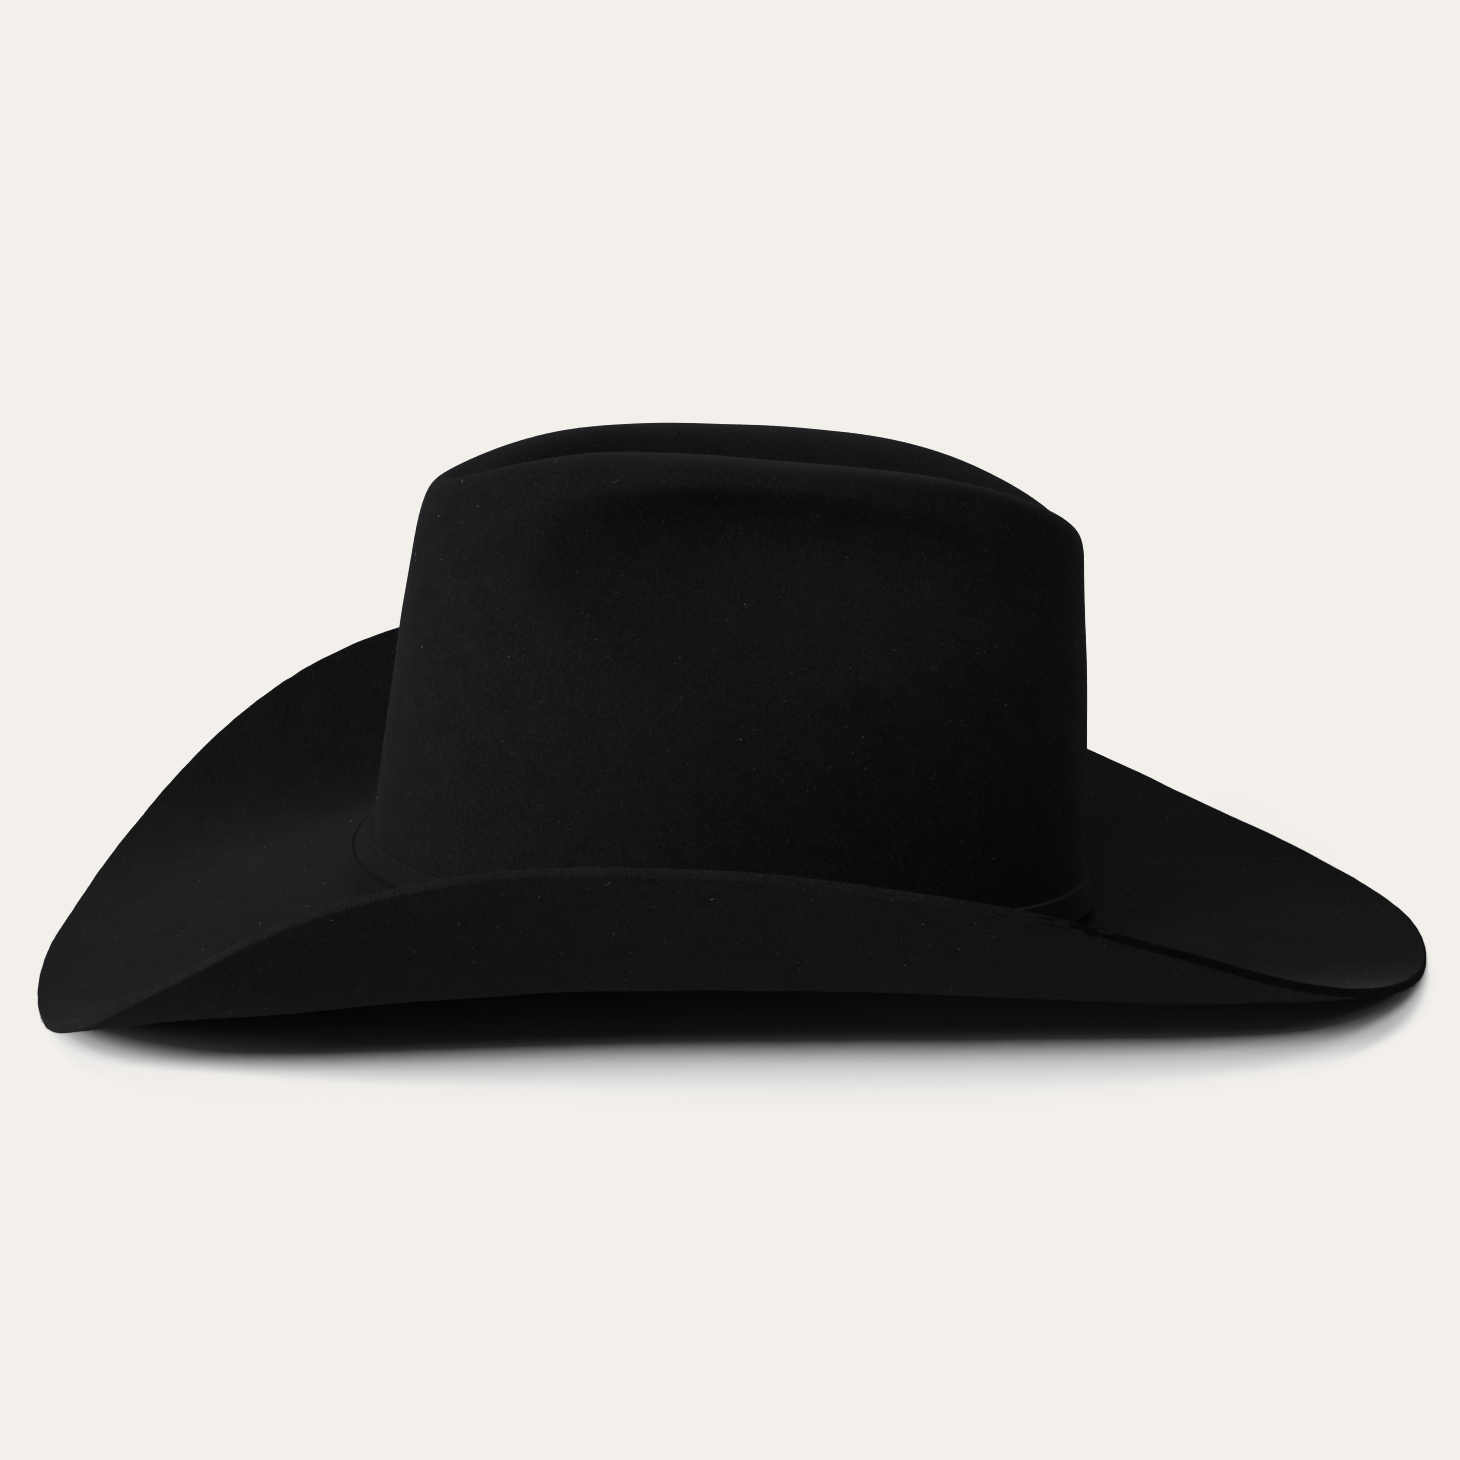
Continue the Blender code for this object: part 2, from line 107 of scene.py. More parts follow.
@dataclass(frozen=True)
class HatForm:
    """Shape of the blocked felt, with the same sizes as the solids."""

    felt: float = 0.0025
    oval_power: float = 2.15
    tilt: float = math.radians(4.6)
    foot_y: float = -0.0036
    foot_z: float = 0.0187
    fillet: float = 0.006
    fillet_reach: float = 0.067
    half_length: float = 0.2036
    half_width: tuple[float, ...] = (0.0, 0.0875, 0.136, 0.154, 0.166, 0.155, 0.119, 0.063, 0.0)
    edge_height: tuple[float, ...] = (0.0005, 0.0132, 0.0472, 0.0699, 0.0685, 0.0475, 0.0196, 0.0052, 0.0006)
    brim_slope: tuple[float, ...] = (-0.30, -0.26, -0.07, -0.17, -0.05)
    brim_roll: tuple[float, ...] = (2.1, 2.65, 2.1, 2.2, 2.1)
    rest_sink: float = 0.0004
    rest_softness: float = 0.0008
    rings: tuple[tuple[float, ...], ...] = (
        (0.000, 0.004, 0.000, 0.1062, 0.0875, 0.1053, 0.00, 2.0),
        (0.022, 0.025, 0.022, 0.1054, 0.0855, 0.1034, 0.00, 2.0),
        (0.056, 0.058, 0.056, 0.1024, 0.0810, 0.1020, 0.00, 2.0),
        (0.090, 0.088, 0.088, 0.0997, 0.0660, 0.0973, 0.05, 2.0),
        (0.117, 0.126, 0.100, 0.0960, 0.0530, 0.0960, 0.10, 2.0),
        (0.113, 0.131, 0.115, 0.0870, 0.0470, 0.0940, 0.40, 4.0),
        (0.117, 0.131, 0.113, 0.0740, 0.0230, 0.0760, 0.15, 3.0),
        (0.108, 0.111, 0.109, 0.0620, 0.0080, 0.0620, 0.00, 2.0),
        (0.106, 0.108, 0.108, 0.0580, 0.0000, 0.0580, 0.00, 2.0),
    )
    ring_inset: tuple[tuple[float, float], ...] = (
        (1, 0), (1, 0), (1, 0), (1, 0), (1, 0.5), (0.7, 1), (0, 1.1), (0, 1.2), (0, 1.2))
    dent_depth: float = 0.0168
    dent_ring: float = 3.4
    dent_half_rings: float = 0.95
    dent_angle: float = math.radians(81)
    dent_front_reach: float = math.radians(40)
    dent_back_reach: float = math.radians(64)
    dent_power: float = 2.0
    wall_top_step: float = 0.5
    wall_samples: int = 501
    nudge: float = 0.01

    @property
    def foot_half_width(self) -> float:
        """Half width of the crown's foot."""
        return self.rings[0][4]

    def round_hat(self, values: Sequence[float], angle: Values, wave: Wave) -> Values:
        """Smooth curve round the hat through values at equal steps from front to back.

        Args:
            values: stations from the front to the back.
            angle: angles wanted.
            wave: even for heights and slopes, odd for widths.

        Returns:
            One value for each angle.
        """
        steps = np.linspace(0.0, math.pi, len(values))
        orders = np.arange(len(values))
        weights = np.linalg.lstsq(wave.of(np.outer(steps, orders)), values, rcond=1e-9)[0]
        return wave.of(np.outer(angle, orders)) @ weights

    def control(self, angle: Values, inset: float) -> Points:
        """Control rings of the crown at the given angles, moved inward by an inset.

        Args:
            angle: angles round the hat.
            inset: distance inside the felt's outer face.

        Returns:
            Rings by angles by three.
        """
        cosine, sine = np.cos(angle), np.sin(angle)
        power = self.oval_power
        scale = (np.abs(cosine) ** power + np.abs(sine) ** power) ** (-1.0 / power)
        rings = []
        for ring, (in_plan, in_height) in zip(self.rings, self.ring_inset):
            front_up, side_up, back_up, front, width, back, egg, change = ring
            plan = inset * in_plan
            across = max(width - plan, 0.0) * sine * scale * (1.0 - egg * cosine)
            along = np.where(cosine > 0.0, plan - front, plan - back) * cosine * scale
            end_up = np.where(cosine > 0.0, front_up, back_up)
            up = side_up + (end_up - side_up) * np.abs(cosine) ** change - inset * in_height
            rings.append(np.stack([across, along, up], axis=-1))
        first, last = 2.0 * rings[0] - rings[1], 2.0 * rings[-1] - rings[-2]
        return np.array([first, *rings, last])

    def dent(self, angle: Values, place: Values) -> Values:
        """Depth of the side hollows.

        Args:
            angle: angles round the hat.
            place: places counted in control rings, one for each angle.

        Returns:
            Signed move across the hat.
        """
        turn = np.abs((angle + math.pi) % FULL_TURN - math.pi)
        reach = np.where(turn < self.dent_angle, self.dent_front_reach, self.dent_back_reach)
        along = (turn - self.dent_angle) / reach
        above = (place - self.dent_ring) / self.dent_half_rings
        inside = np.clip(1.0 - along ** 2 - above ** 2, 0.0, None)
        return np.sign(np.sin(angle)) * self.dent_depth * inside ** self.dent_power

    def crown_at(self, angle: Values, step: Values, inset: float = 0.0) -> Points:
        """Points of the crown in its own frame, by B-spline.

        Args:
            angle: angles round the hat.
            step: steps from foot (0) to crease (1), one for each angle.
            inset: distance inside the felt's outer face.

        Returns:
            One point for each angle.
        """
        control = self.control(angle, inset)
        spans = len(self.rings) - 1
        place = np.asarray(step) * spans
        span = np.minimum(place.astype(int), spans - 1)
        t = (place - span)[:, None]
        column = np.arange(len(angle))
        points = (1.0 - t) ** 3 / 6.0 * control[span, column]
        points += (3.0 * t ** 3 - 6.0 * t ** 2 + 4.0) / 6.0 * control[span + 1, column]
        points += (-3.0 * t ** 3 + 3.0 * t ** 2 + 3.0 * t + 1.0) / 6.0 * control[span + 2, column]
        points += t ** 3 / 6.0 * control[span + 3, column]
        points[:, 0] -= self.dent(angle, place)
        return points

    def crown(self, angle: Values, steps: Sequence[float], inset: float = 0.0) -> Points:
        """Rings of the crown, one for each step."""
        return np.array([self.crown_at(angle, np.full(len(angle), step), inset) for step in steps])

    def step_at(self, height: Values | float) -> Values:
        """Step of the crown's B-spline at heights on its front wall.

        Args:
            height: heights above the crown's foot.

        Returns:
            One step for each height.
        """
        steps = np.linspace(0.0, self.wall_top_step, self.wall_samples)
        heights = self.crown_at(np.zeros(len(steps)), steps)[:, 2]
        return np.interp(np.maximum(height, 0.0), heights, steps)

    def wall(self, angle: Values, height: Values | float, out: Values | float) -> Points:
        """Points by the crown wall.

        Args:
            angle: angles round the hat.
            height: heights above the crown's foot.
            out: distances outward from the felt's outer face.

        Returns:
            One point for each angle, as the hat stands.
        """
        height = np.broadcast_to(height, angle.shape)
        step = np.broadcast_to(self.step_at(height), angle.shape)
        points = self.crown_at(angle, step)
        run = self.crown_at(angle + self.nudge, step) - self.crown_at(angle - self.nudge, step)
        outward = unit(np.stack([run[:, 1], -run[:, 0]], axis=-1))
        points[:, :2] += outward * np.broadcast_to(out, angle.shape)[:, None]
        points[:, 2] += np.minimum(height, 0.0)
        return self.stand(points)

    def loops(self, angle: Values, outline: Sequence[Sequence[Values | float]]) -> Points:
        """Rings by the crown wall, one for each pair of a height and a distance outward."""
        return np.array([self.wall(angle, height, out) for height, out in outline])

    def stand(self, points: Points) -> Points:
        """Move points from the crown's frame to the hat as it stands on the ground.

        Args:
            points: places in the crown's frame.

        Returns:
            The same places on the hat.
        """
        cosine, sine = math.cos(self.tilt), math.sin(self.tilt)
        x, y, z = points[..., 0], points[..., 1], points[..., 2]
        along = y * cosine + z * sine + self.foot_y
        up = z * cosine - y * sine + self.foot_z
        return np.stack([x, along, up], axis=-1)

    def brim(self, angle: Values, reaches: Sequence[float]) -> Points:
        """Rings of the brim's upper face.

        Args:
            angle: angles round the hat.
            reaches: shares of the way from the crown's foot (0) to the edge (1).

        Returns:
            One ring for each reach, as the hat stands.
        """
        foot = self.stand(self.crown(angle, [0.0]))[0]
        edge_x = self.round_hat(self.half_width, angle, Wave.ODD)
        edge_y = -self.half_length * np.cos(angle)
        rise = self.round_hat(self.edge_height, angle, Wave.EVEN) - foot[:, 2]
        lean = self.round_hat(self.brim_slope, angle, Wave.EVEN)
        lean = lean * np.hypot(edge_x - foot[:, 0], edge_y - foot[:, 1])
        roll = self.round_hat(self.brim_roll, angle, Wave.EVEN)
        floor = self.felt - self.rest_sink
        rings = []
        for reach in reaches:
            x = foot[:, 0] + (edge_x - foot[:, 0]) * reach
            y = foot[:, 1] + (edge_y - foot[:, 1]) * reach
            z = foot[:, 2] + lean * reach + (rise - lean) * reach ** roll
            z = floor + self.rest_softness * np.logaddexp(0.0, (z - floor) / self.rest_softness)
            rings.append(np.stack([x, y, z], axis=-1))
        return np.array(rings)


def turns(columns: int) -> Values:
    """Equal angles round the hat."""
    return np.arange(columns) * FULL_TURN / columns


def unit(vectors: Points, least: float = 0.0) -> Points:
    """Vectors brought to length one, with a least length for those that may vanish."""
    return vectors / np.maximum(np.linalg.norm(vectors, axis=-1, keepdims=True), least)


def signed_power(values: Values | float, power: float) -> Values:
    """Power of the size of values, with their signs kept."""
    return np.sign(values) * np.abs(values) ** power


def arc(start: Points, corner: Points, end: Points, share: Values | float) -> Points:
    """Places on the soft curve that leaves start towards corner and comes into end."""
    return (1 - share) ** 2 * start + 2 * share * (1 - share) * corner + share ** 2 * end


def plan_of(angle: Values) -> Points:
    """Places round a flat circle, for waves that close on themselves."""
    return np.stack([np.sin(angle), np.cos(angle), np.zeros(len(angle))], axis=-1) * PLAN_RADIUS


def ripple(points: Points, length: float, seed: int) -> Values:
    """Smooth uneven waves through space.

    Args:
        points: places, in metres.
        length: usual wavelength.
        seed: picks the waves.

    Returns:
        Values of about -1 to 1, one for each place.
    """
    dice = np.random.default_rng(seed)
    ways = unit(dice.normal(size=(RIPPLE_WAVES, 3)))
    ways *= FULL_TURN / length * dice.uniform(*RIPPLE_SPREAD, (RIPPLE_WAVES, 1))
    phases = dice.uniform(0.0, FULL_TURN, RIPPLE_WAVES)
    return np.sin(points @ ways.T + phases).sum(axis=-1) / (RIPPLE_WAVES / 2.0)


def grid_normals(rings: Points) -> Points:
    """Normals of a stack of closed rings, on the side that faces up for rings that run inward."""
    along = np.roll(rings, -1, axis=1) - np.roll(rings, 1, axis=1)
    return unit(np.cross(along, np.gradient(rings, axis=0)), TINY)


def ring_quads(low: Counts, high: Counts) -> Counts:
    """Four-sided faces between rows of corners and the next rows."""
    corners = [low, np.roll(low, -1, axis=1), np.roll(high, -1, axis=1), high]
    return np.stack(corners, axis=-1).reshape(-1, 4)


def hoops(side: Points, other: Points, count: int) -> Points:
    """Unit circles of a few points, one for each pair of crosswise directions."""
    turn = turns(count)[None, :, None]
    return side[:, None] * np.cos(turn) + other[:, None] * np.sin(turn)


@dataclass
class MeshPiece:
    """Points and faces of one piece, gathered before Blender makes its mesh."""

    name: str
    points: list[Points] = field(default_factory=list)
    faces: list[Counts] = field(default_factory=list)
    finishes: list[Counts] = field(default_factory=list)
    uvs: list[Points] = field(default_factory=list)
    count: int = 0

    def add(self, points: Points, faces: Counts, finish: Counts | int = 0, uv: Points | None = None) -> None:
        """Add a patch.

        Args:
            points: its corners.
            faces: its faces, all with the same number of corners.
            finish: which of the piece's finishes it takes, or one for each face.
            uv: place of each corner on the flat material, in metres.
        """
        first = self.count
        self.points.append(points)
        self.uvs.append(np.zeros((len(points), 2)) if uv is None else uv)
        self.count += len(points)
        self.join(faces + first, finish)

    def join(self, faces: Counts, finish: Counts | int = 0) -> None:
        """Add faces over points that are already there."""
        self.faces.append(faces)
        self.finishes.append(np.broadcast_to(finish, len(faces)))

    def add_rings(self, rings: Points, closed: bool, finish: Counts | int = 0, pinched: bool = False) -> None:
        """Add a skin over a stack of closed rings.

        Args:
            rings: rings by columns by three.
            closed: joins the last ring to the first.
            finish: one finish, one for each row of faces, or one for each face.
            pinched: the first and last rings are folded flat and close the skin.
        """
        rows, columns = rings.shape[:2]
        index = np.arange(rows * columns).reshape(rows, columns)
        if pinched:
            fold = np.minimum(np.arange(columns), (columns - np.arange(columns)) % columns)
            index[0], index[-1] = index[0, fold], index[-1, fold]
        low = index if closed else index[:-1]
        high = np.roll(index, -1, axis=0) if closed else index[1:]
        step = np.linalg.norm(np.roll(rings, -1, axis=1) - rings, axis=2)
        around = np.cumsum(step, axis=1).mean(axis=0)
        across = np.linalg.norm(np.diff(rings, axis=0, prepend=rings[:1]), axis=2).mean(axis=1).cumsum()
        uv = np.stack(np.meshgrid(around, across), axis=-1).reshape(-1, 2)
        table = np.asarray(finish)
        table = table[:, None] if table.ndim == 1 else table
        self.add(rings.reshape(-1, 3), ring_quads(low, high), np.broadcast_to(table, low.shape).ravel(), uv)

    def add_capped(self, rings: Points) -> None:
        """Add a skin over a stack of rings, and a face that closes each end.

        Args:
            rings: rings by columns by three.
        """
        rows, columns = rings.shape[:2]
        first = self.count + np.arange(columns)[None]
        self.add_rings(rings, closed=False)
        self.join(first[:, ::-1])
        self.join(first + (rows - 1) * columns)

    def build(self, *finishes: "Finish") -> bpy.types.Object:
        """Make the object.

        Args:
            finishes: its finishes in order.

        Returns:
            The new object, shaded smooth.
        """
        points = np.concatenate(self.points)
        used = np.unique(np.concatenate([patch.ravel() for patch in self.faces]))
        place = np.zeros(len(points), int)
        place[used] = np.arange(len(used))
        faces = [face for patch in self.faces for face in place[patch].tolist()]
        mesh = bpy.data.meshes.new(self.name)
        mesh.from_pydata(points[used].tolist(), [], faces)
        layer = mesh.uv_layers.new(name="flat")
        corners = np.zeros(len(mesh.loops), int)
        mesh.loops.foreach_get("vertex_index", corners)
        layer.data.foreach_set("uv", np.concatenate(self.uvs)[used][corners].ravel())
        for finish in finishes:
            mesh.materials.append(finish.material())
        mesh.polygons.foreach_set("material_index", np.concatenate(self.finishes))
        mesh.shade_smooth()
        mesh.update()
        piece = bpy.data.objects.new(self.name, mesh)
        bpy.context.scene.collection.objects.link(piece)
        return piece


def settle(piece: bpy.types.Object, body: Body, slot: Slot, *nodes: str) -> bpy.types.Object:
    """Put a finished piece on its body.

    Args:
        piece: the object.
        body: what it moves with.
        slot: the record's material slot; not used.
        nodes: solids that it stands for.

    Returns:
        The same object.
    """
    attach(piece, body.value)
    if nodes:
        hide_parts(*nodes)
    log.info("%s on %s: %d faces", piece.name, body.value, len(piece.data.polygons))
    return piece


def capsules(piece: MeshPiece, starts: Points, ends: Points, radius: float) -> None:
    """Add short round stitches with domed ends.

    Args:
        piece: the piece they go in.
        starts: one end of each stitch.
        ends: the other end of each.
        radius: thread radius.
    """
    axis = ends - starts
    length = np.linalg.norm(axis, axis=1, keepdims=True)
    axis = axis / length
    level = np.abs(axis[:, 2:]) < UPRIGHT
    side = unit(np.cross(axis, np.where(level, [[0.0, 0.0, 1.0]], [[1.0, 0.0, 0.0]])))
    hoop = hoops(side, np.cross(axis, side), STITCH_SIDES) * radius
    rows = [(starts + axis * length * share)[:, None] + hoop * swell for share, swell in STITCH_PROFILE]
    points = np.stack(rows, axis=1)
    index = np.arange(len(STITCH_PROFILE) * STITCH_SIDES).reshape(-1, STITCH_SIDES)
    offset = np.arange(len(starts))[:, None, None] * index.size
    base = piece.count
    piece.add(points.reshape(-1, 3), (ring_quads(index[:-1], index[1:]) + offset).reshape(-1, 4))
    caps = np.stack([index[0, ::-1], index[-1]])
    piece.join((caps + offset).reshape(-1, STITCH_SIDES) + base)


def fibres(piece: MeshPiece, roots: Points, ways: Points, lengths: Values, radius: Values, seed: int) -> None:
    """Add fine bent hairs, each a closed three-sided spike, and leave out those that reach the floor.

    Args:
        piece: the piece they go in.
        roots: where each hair leaves the felt.
        ways: directions, of any length.
        lengths: hair lengths.
        radius: radius at the root.
        seed: picks the bends.
    """
    dice = np.random.default_rng(seed)
    ways = unit(ways)
    side = unit(np.cross(ways, dice.normal(size=ways.shape)))
    other = np.cross(ways, side)
    bend = dice.normal(size=(len(roots), 2)) * HAIR_CURL * lengths[:, None]
    sway = side * bend[:, :1] + other * bend[:, 1:]
    run = ways * lengths[:, None]
    hoop = hoops(side, other, HAIR_SIDES) * radius[:, None, None]
    root = (roots - ways * radius[:, None])[:, None] + hoop
    middle = (roots + run * HAIR_MIDDLE + HAIR_MIDDLE_SWAY * sway)[:, None] + hoop * HAIR_TAPER
    points = np.concatenate([root, middle, (roots + run + sway)[:, None]], axis=1)
    points = points[points[..., 2].min(axis=1) > 0.0]
    offset = np.arange(len(points))[:, None, None] * points.shape[1]
    base = piece.count
    piece.add(points.reshape(-1, 3), (HAIR_WALLS + offset).reshape(-1, 4))
    piece.join((HAIR_ENDS + offset).reshape(-1, 3) + base)


def brush(piece: MeshPiece, roots: Points, ways: Points, lengths: tuple[float, float], dice: Dice,
          seed: int) -> None:
    """Add nap hairs whose lengths, between two limits, and radii are drawn with dice."""
    count = len(roots)
    fibres(piece, roots, ways, dice.uniform(*lengths, count), dice.uniform(*NAP_RADIUS, count), seed)


def scatter(rings: Points, normals: Points, count: int, seed: int) -> tuple[Points, Points, Points]:
    """Even random places on a skin of rings.

    Args:
        rings: the skin.
        normals: its normals.
        count: how many places.
        seed: picks them.

    Returns:
        Places, normals and directions along the rings.
    """
    dice = np.random.default_rng(seed)
    ahead = np.roll(rings, -1, axis=1)
    area = np.linalg.norm(np.cross(ahead[:-1] - rings[:-1], rings[1:] - rings[:-1]), axis=-1)
    pick = dice.choice(area.size, count, p=area.ravel() / area.sum())
    row, column = np.unravel_index(pick, area.shape)
    s, t = dice.uniform(size=(2, count, 1))
    near = rings[row, column] * (1 - s) + ahead[row, column] * s
    far = rings[row + 1, column] * (1 - s) + ahead[row + 1, column] * s
    along = unit(ahead[row, column] - rings[row, column], TINY)
    return near * (1 - t) + far * t, normals[row, column], along


class NodeBench:
    """Short way to place and join shader nodes."""

    def __init__(self, tree: bpy.types.NodeTree) -> None:
        """Work on a node tree."""
        self.tree = tree

    def add(self, kind: str, settings: dict[str, object] | None = None, **inputs: object) -> bpy.types.Node:
        """Place a node.

        Args:
            kind: Blender's name of the node, without ShaderNode.
            settings: its own properties.
            inputs: values or output sockets for its inputs, by name with _ for a space, or by place as i0.

        Returns:
            The node.
        """
        node = self.tree.nodes.new("ShaderNode" + kind)
        for name, value in (settings or {}).items():
            setattr(node, name, value)
        for name, value in inputs.items():
            by_place = name[0] == "i" and name[1:].isdigit()
            slot = node.inputs[int(name[1:]) if by_place else name.replace("_", " ")]
            if isinstance(value, Socket):
                self.tree.links.new(value, slot)
            else:
                slot.default_value = value
        return node

    def mix(self, share: Socket, low: Colour, high: Colour) -> Socket:
        """Colour between two by a share."""
        node = self.add("Mix", {"data_type": "RGBA"}, i0=share, i6=(*low, 1.0), i7=(*high, 1.0))
        return node.outputs[2]

    def span(self, value: Socket, low: float, high: float, start: float = 0.0, end: float = 1.0) -> Socket:
        """Carry a value from start..end to low..high."""
        return self.add("MapRange", None, i0=value, i1=start, i2=end, i3=low, i4=high).outputs[0]

    def math(self, operation: str, *values: Socket | float) -> Socket:
        """Result of one sum on values."""
        inputs = {f"i{place}": value for place, value in enumerate(values)}
        return self.add("Math", {"operation": operation}, **inputs).outputs[0]

    def sum(self, first: Socket, second: Socket, weight: float) -> Socket:
        """First value plus a weight of the second."""
        return self.math("MULTIPLY_ADD", second, weight, first)

    def noise(self, vector: Socket, scale: Socket, detail: float, roughness: float = 0.5) -> Socket:
        """Cloudy noise."""
        node = self.add("TexNoise", None, Vector=vector, Scale=scale, Detail=detail, Roughness=roughness)
        return node.outputs["Fac"]


class SurfaceEffect(Enum):
    """Effects that several finishes share, each a shader node group."""

    NAP = "short nap"
    MOTTLE = "uneven dye"
    GRAIN = "leather grain"
    RIBS = "woven ribs"

    def group(self) -> bpy.types.NodeTree:
        """The effect's node group, built once."""
        found = bpy.data.node_groups.get(self.value)
        if found:
            return found
        tree = bpy.data.node_groups.new(self.value, "ShaderNodeTree")
        for name, way, kind in (("Vector", "INPUT", "Vector"), ("Scale", "INPUT", "Float"),
                                ("Height", "OUTPUT", "Float"), ("Shade", "OUTPUT", "Float")):
            tree.interface.new_socket(name, in_out=way, socket_type="NodeSocket" + kind)
        start = tree.nodes.new("NodeGroupInput")
        end = tree.nodes.new("NodeGroupOutput")
        makers: dict[SurfaceEffect, Callable[[NodeBench, Socket, Socket], tuple[Socket, Socket]]] = {
            SurfaceEffect.NAP: self._nap, SurfaceEffect.MOTTLE: self._mottle,
            SurfaceEffect.GRAIN: self._grain, SurfaceEffect.RIBS: self._ribs}
        height, shade = makers[self](NodeBench(tree), start.outputs["Vector"], start.outputs["Scale"])
        tree.links.new(height, end.inputs["Height"])
        tree.links.new(shade, end.inputs["Shade"])
        return tree

    @staticmethod
    def _nap(bench: NodeBench, vector: Socket, scale: Socket) -> tuple[Socket, Socket]:
        """Fine grain, with the short bent fibres that lie in it where a slow noise crosses its middle.

        Args:
            bench: where its nodes go.
            vector: place on the surface.
            scale: fineness of the effect.

        Returns:
            Its height and its shade.
        """
        fine = bench.noise(vector, scale, 3.0, 0.7)
        slow = bench.noise(vector, bench.math("MULTIPLY", scale, 0.5), 0.0)
        off = bench.math("ABSOLUTE", bench.math("SUBTRACT", slow, 0.5))
        line = bench.span(off, 1.0, 0.0, 0.0, 0.10)
        tuft = bench.span(bench.noise(vector, scale, 0.0), 0.0, 1.0, 0.45, 0.62)
        fibre = bench.math("MULTIPLY", line, tuft)
        return bench.sum(fine, fibre, 0.35), bench.span(bench.sum(fine, fibre, 0.30), 0.0, 1.0, 0.34, 0.86)

    @staticmethod
    def _mottle(bench: NodeBench, vector: Socket, scale: Socket) -> tuple[Socket, Socket]:
        """Soft blotches in two sizes.

        Args:
            bench: where its nodes go.
            vector: place on the surface.
            scale: fineness of the effect.

        Returns:
            Its height and its shade.
        """
        wide = bench.noise(vector, scale, 2.0)
        small = bench.noise(vector, bench.math("MULTIPLY", scale, 5.0), 2.0)
        both = bench.sum(wide, small, 0.6)
        return both, bench.span(both, 0.0, 1.0, 0.55, 1.05)

    @staticmethod
    def _grain(bench: NodeBench, vector: Socket, scale: Socket) -> tuple[Socket, Socket]:
        """Pebbled cells with creases between them.

        Args:
            bench: where its nodes go.
            vector: place on the surface.
            scale: fineness of the effect.

        Returns:
            Its height and its shade.
        """
        cell = bench.add("TexVoronoi", {"feature": "DISTANCE_TO_EDGE"}, Vector=vector, Scale=scale)
        pebble = bench.span(cell.outputs["Distance"], 0.0, 1.0, 0.0, 0.25)
        pore = bench.noise(vector, scale, 4.0)
        return bench.sum(pebble, pore, 0.5), bench.sum(bench.span(pebble, 0.0, 0.6), pore, 0.5)

    @staticmethod
    def _ribs(bench: NodeBench, vector: Socket, scale: Socket) -> tuple[Socket, Socket]:
        """Fine ribs across the cloth, with uneven threads.

        Args:
            bench: where its nodes go.
            vector: place on the surface.
            scale: fineness of the effect.

        Returns:
            Its height and its shade.
        """
        wave = bench.add("TexWave", {"wave_type": "BANDS", "bands_direction": "X"}, Vector=vector,
                         Scale=scale, Distortion=0.6, Detail=1.0).outputs["Fac"]
        thread = bench.noise(vector, scale, 3.0)
        return bench.sum(wave, thread, 0.4), bench.span(thread, 0.0, 1.0, 0.3, 0.7)


@dataclass(frozen=True)
class Finish:
    """A finish: two shades, their effects, and the gloss of the surface."""

    name: str
    dark: Colour
    light: Colour
    effect: SurfaceEffect
    scale: float
    bump: float
    depth: float
    roughness: tuple[float, float]
    sheen: float = 0.0
    sheen_tint: Colour = (1.0, 1.0, 1.0)
    sheen_roughness: float = 0.5
    specular: float = 0.3
    mottle: float = 0.5
    mottle_scale: float = 30.0
    flat: bool = False

    def material(self) -> bpy.types.Material:
        """The finish as a material, built once."""
        found = bpy.data.materials.get(self.name)
        if found:
            return found
        material = bpy.data.materials.new(self.name)
        material.use_nodes = True
        bench = NodeBench(material.node_tree)
        shader = material.node_tree.nodes["Principled BSDF"]
        place = bench.add("TexCoord").outputs
        vector = place["UV"] if self.flat else place["Object"]
        effect = bench.add("Group", {"node_tree": self.effect.group()}, Vector=vector,
                           Scale=self.scale).outputs
        dye = bench.add("Group", {"node_tree": SurfaceEffect.MOTTLE.group()}, Vector=place["Object"],
                        Scale=self.mottle_scale).outputs
        share = bench.add("Mix", {"data_type": "FLOAT"}, i0=self.mottle, i2=effect["Shade"], i3=dye["Shade"])
        bump = bench.add("Bump", None, Strength=self.bump, Distance=self.depth, Height=effect["Height"])
        links = material.node_tree.links
        links.new(bench.mix(share.outputs[0], self.dark, self.light), shader.inputs["Base Color"])
        links.new(bench.span(effect["Shade"], *self.roughness), shader.inputs["Roughness"])
        links.new(bump.outputs["Normal"], shader.inputs["Normal"])
        for name, value in (("Sheen Weight", self.sheen), ("Sheen Roughness", self.sheen_roughness),
                            ("Sheen Tint", (*self.sheen_tint, 1.0)), ("Specular IOR Level", self.specular)):
            shader.inputs[name].default_value = value
        return material


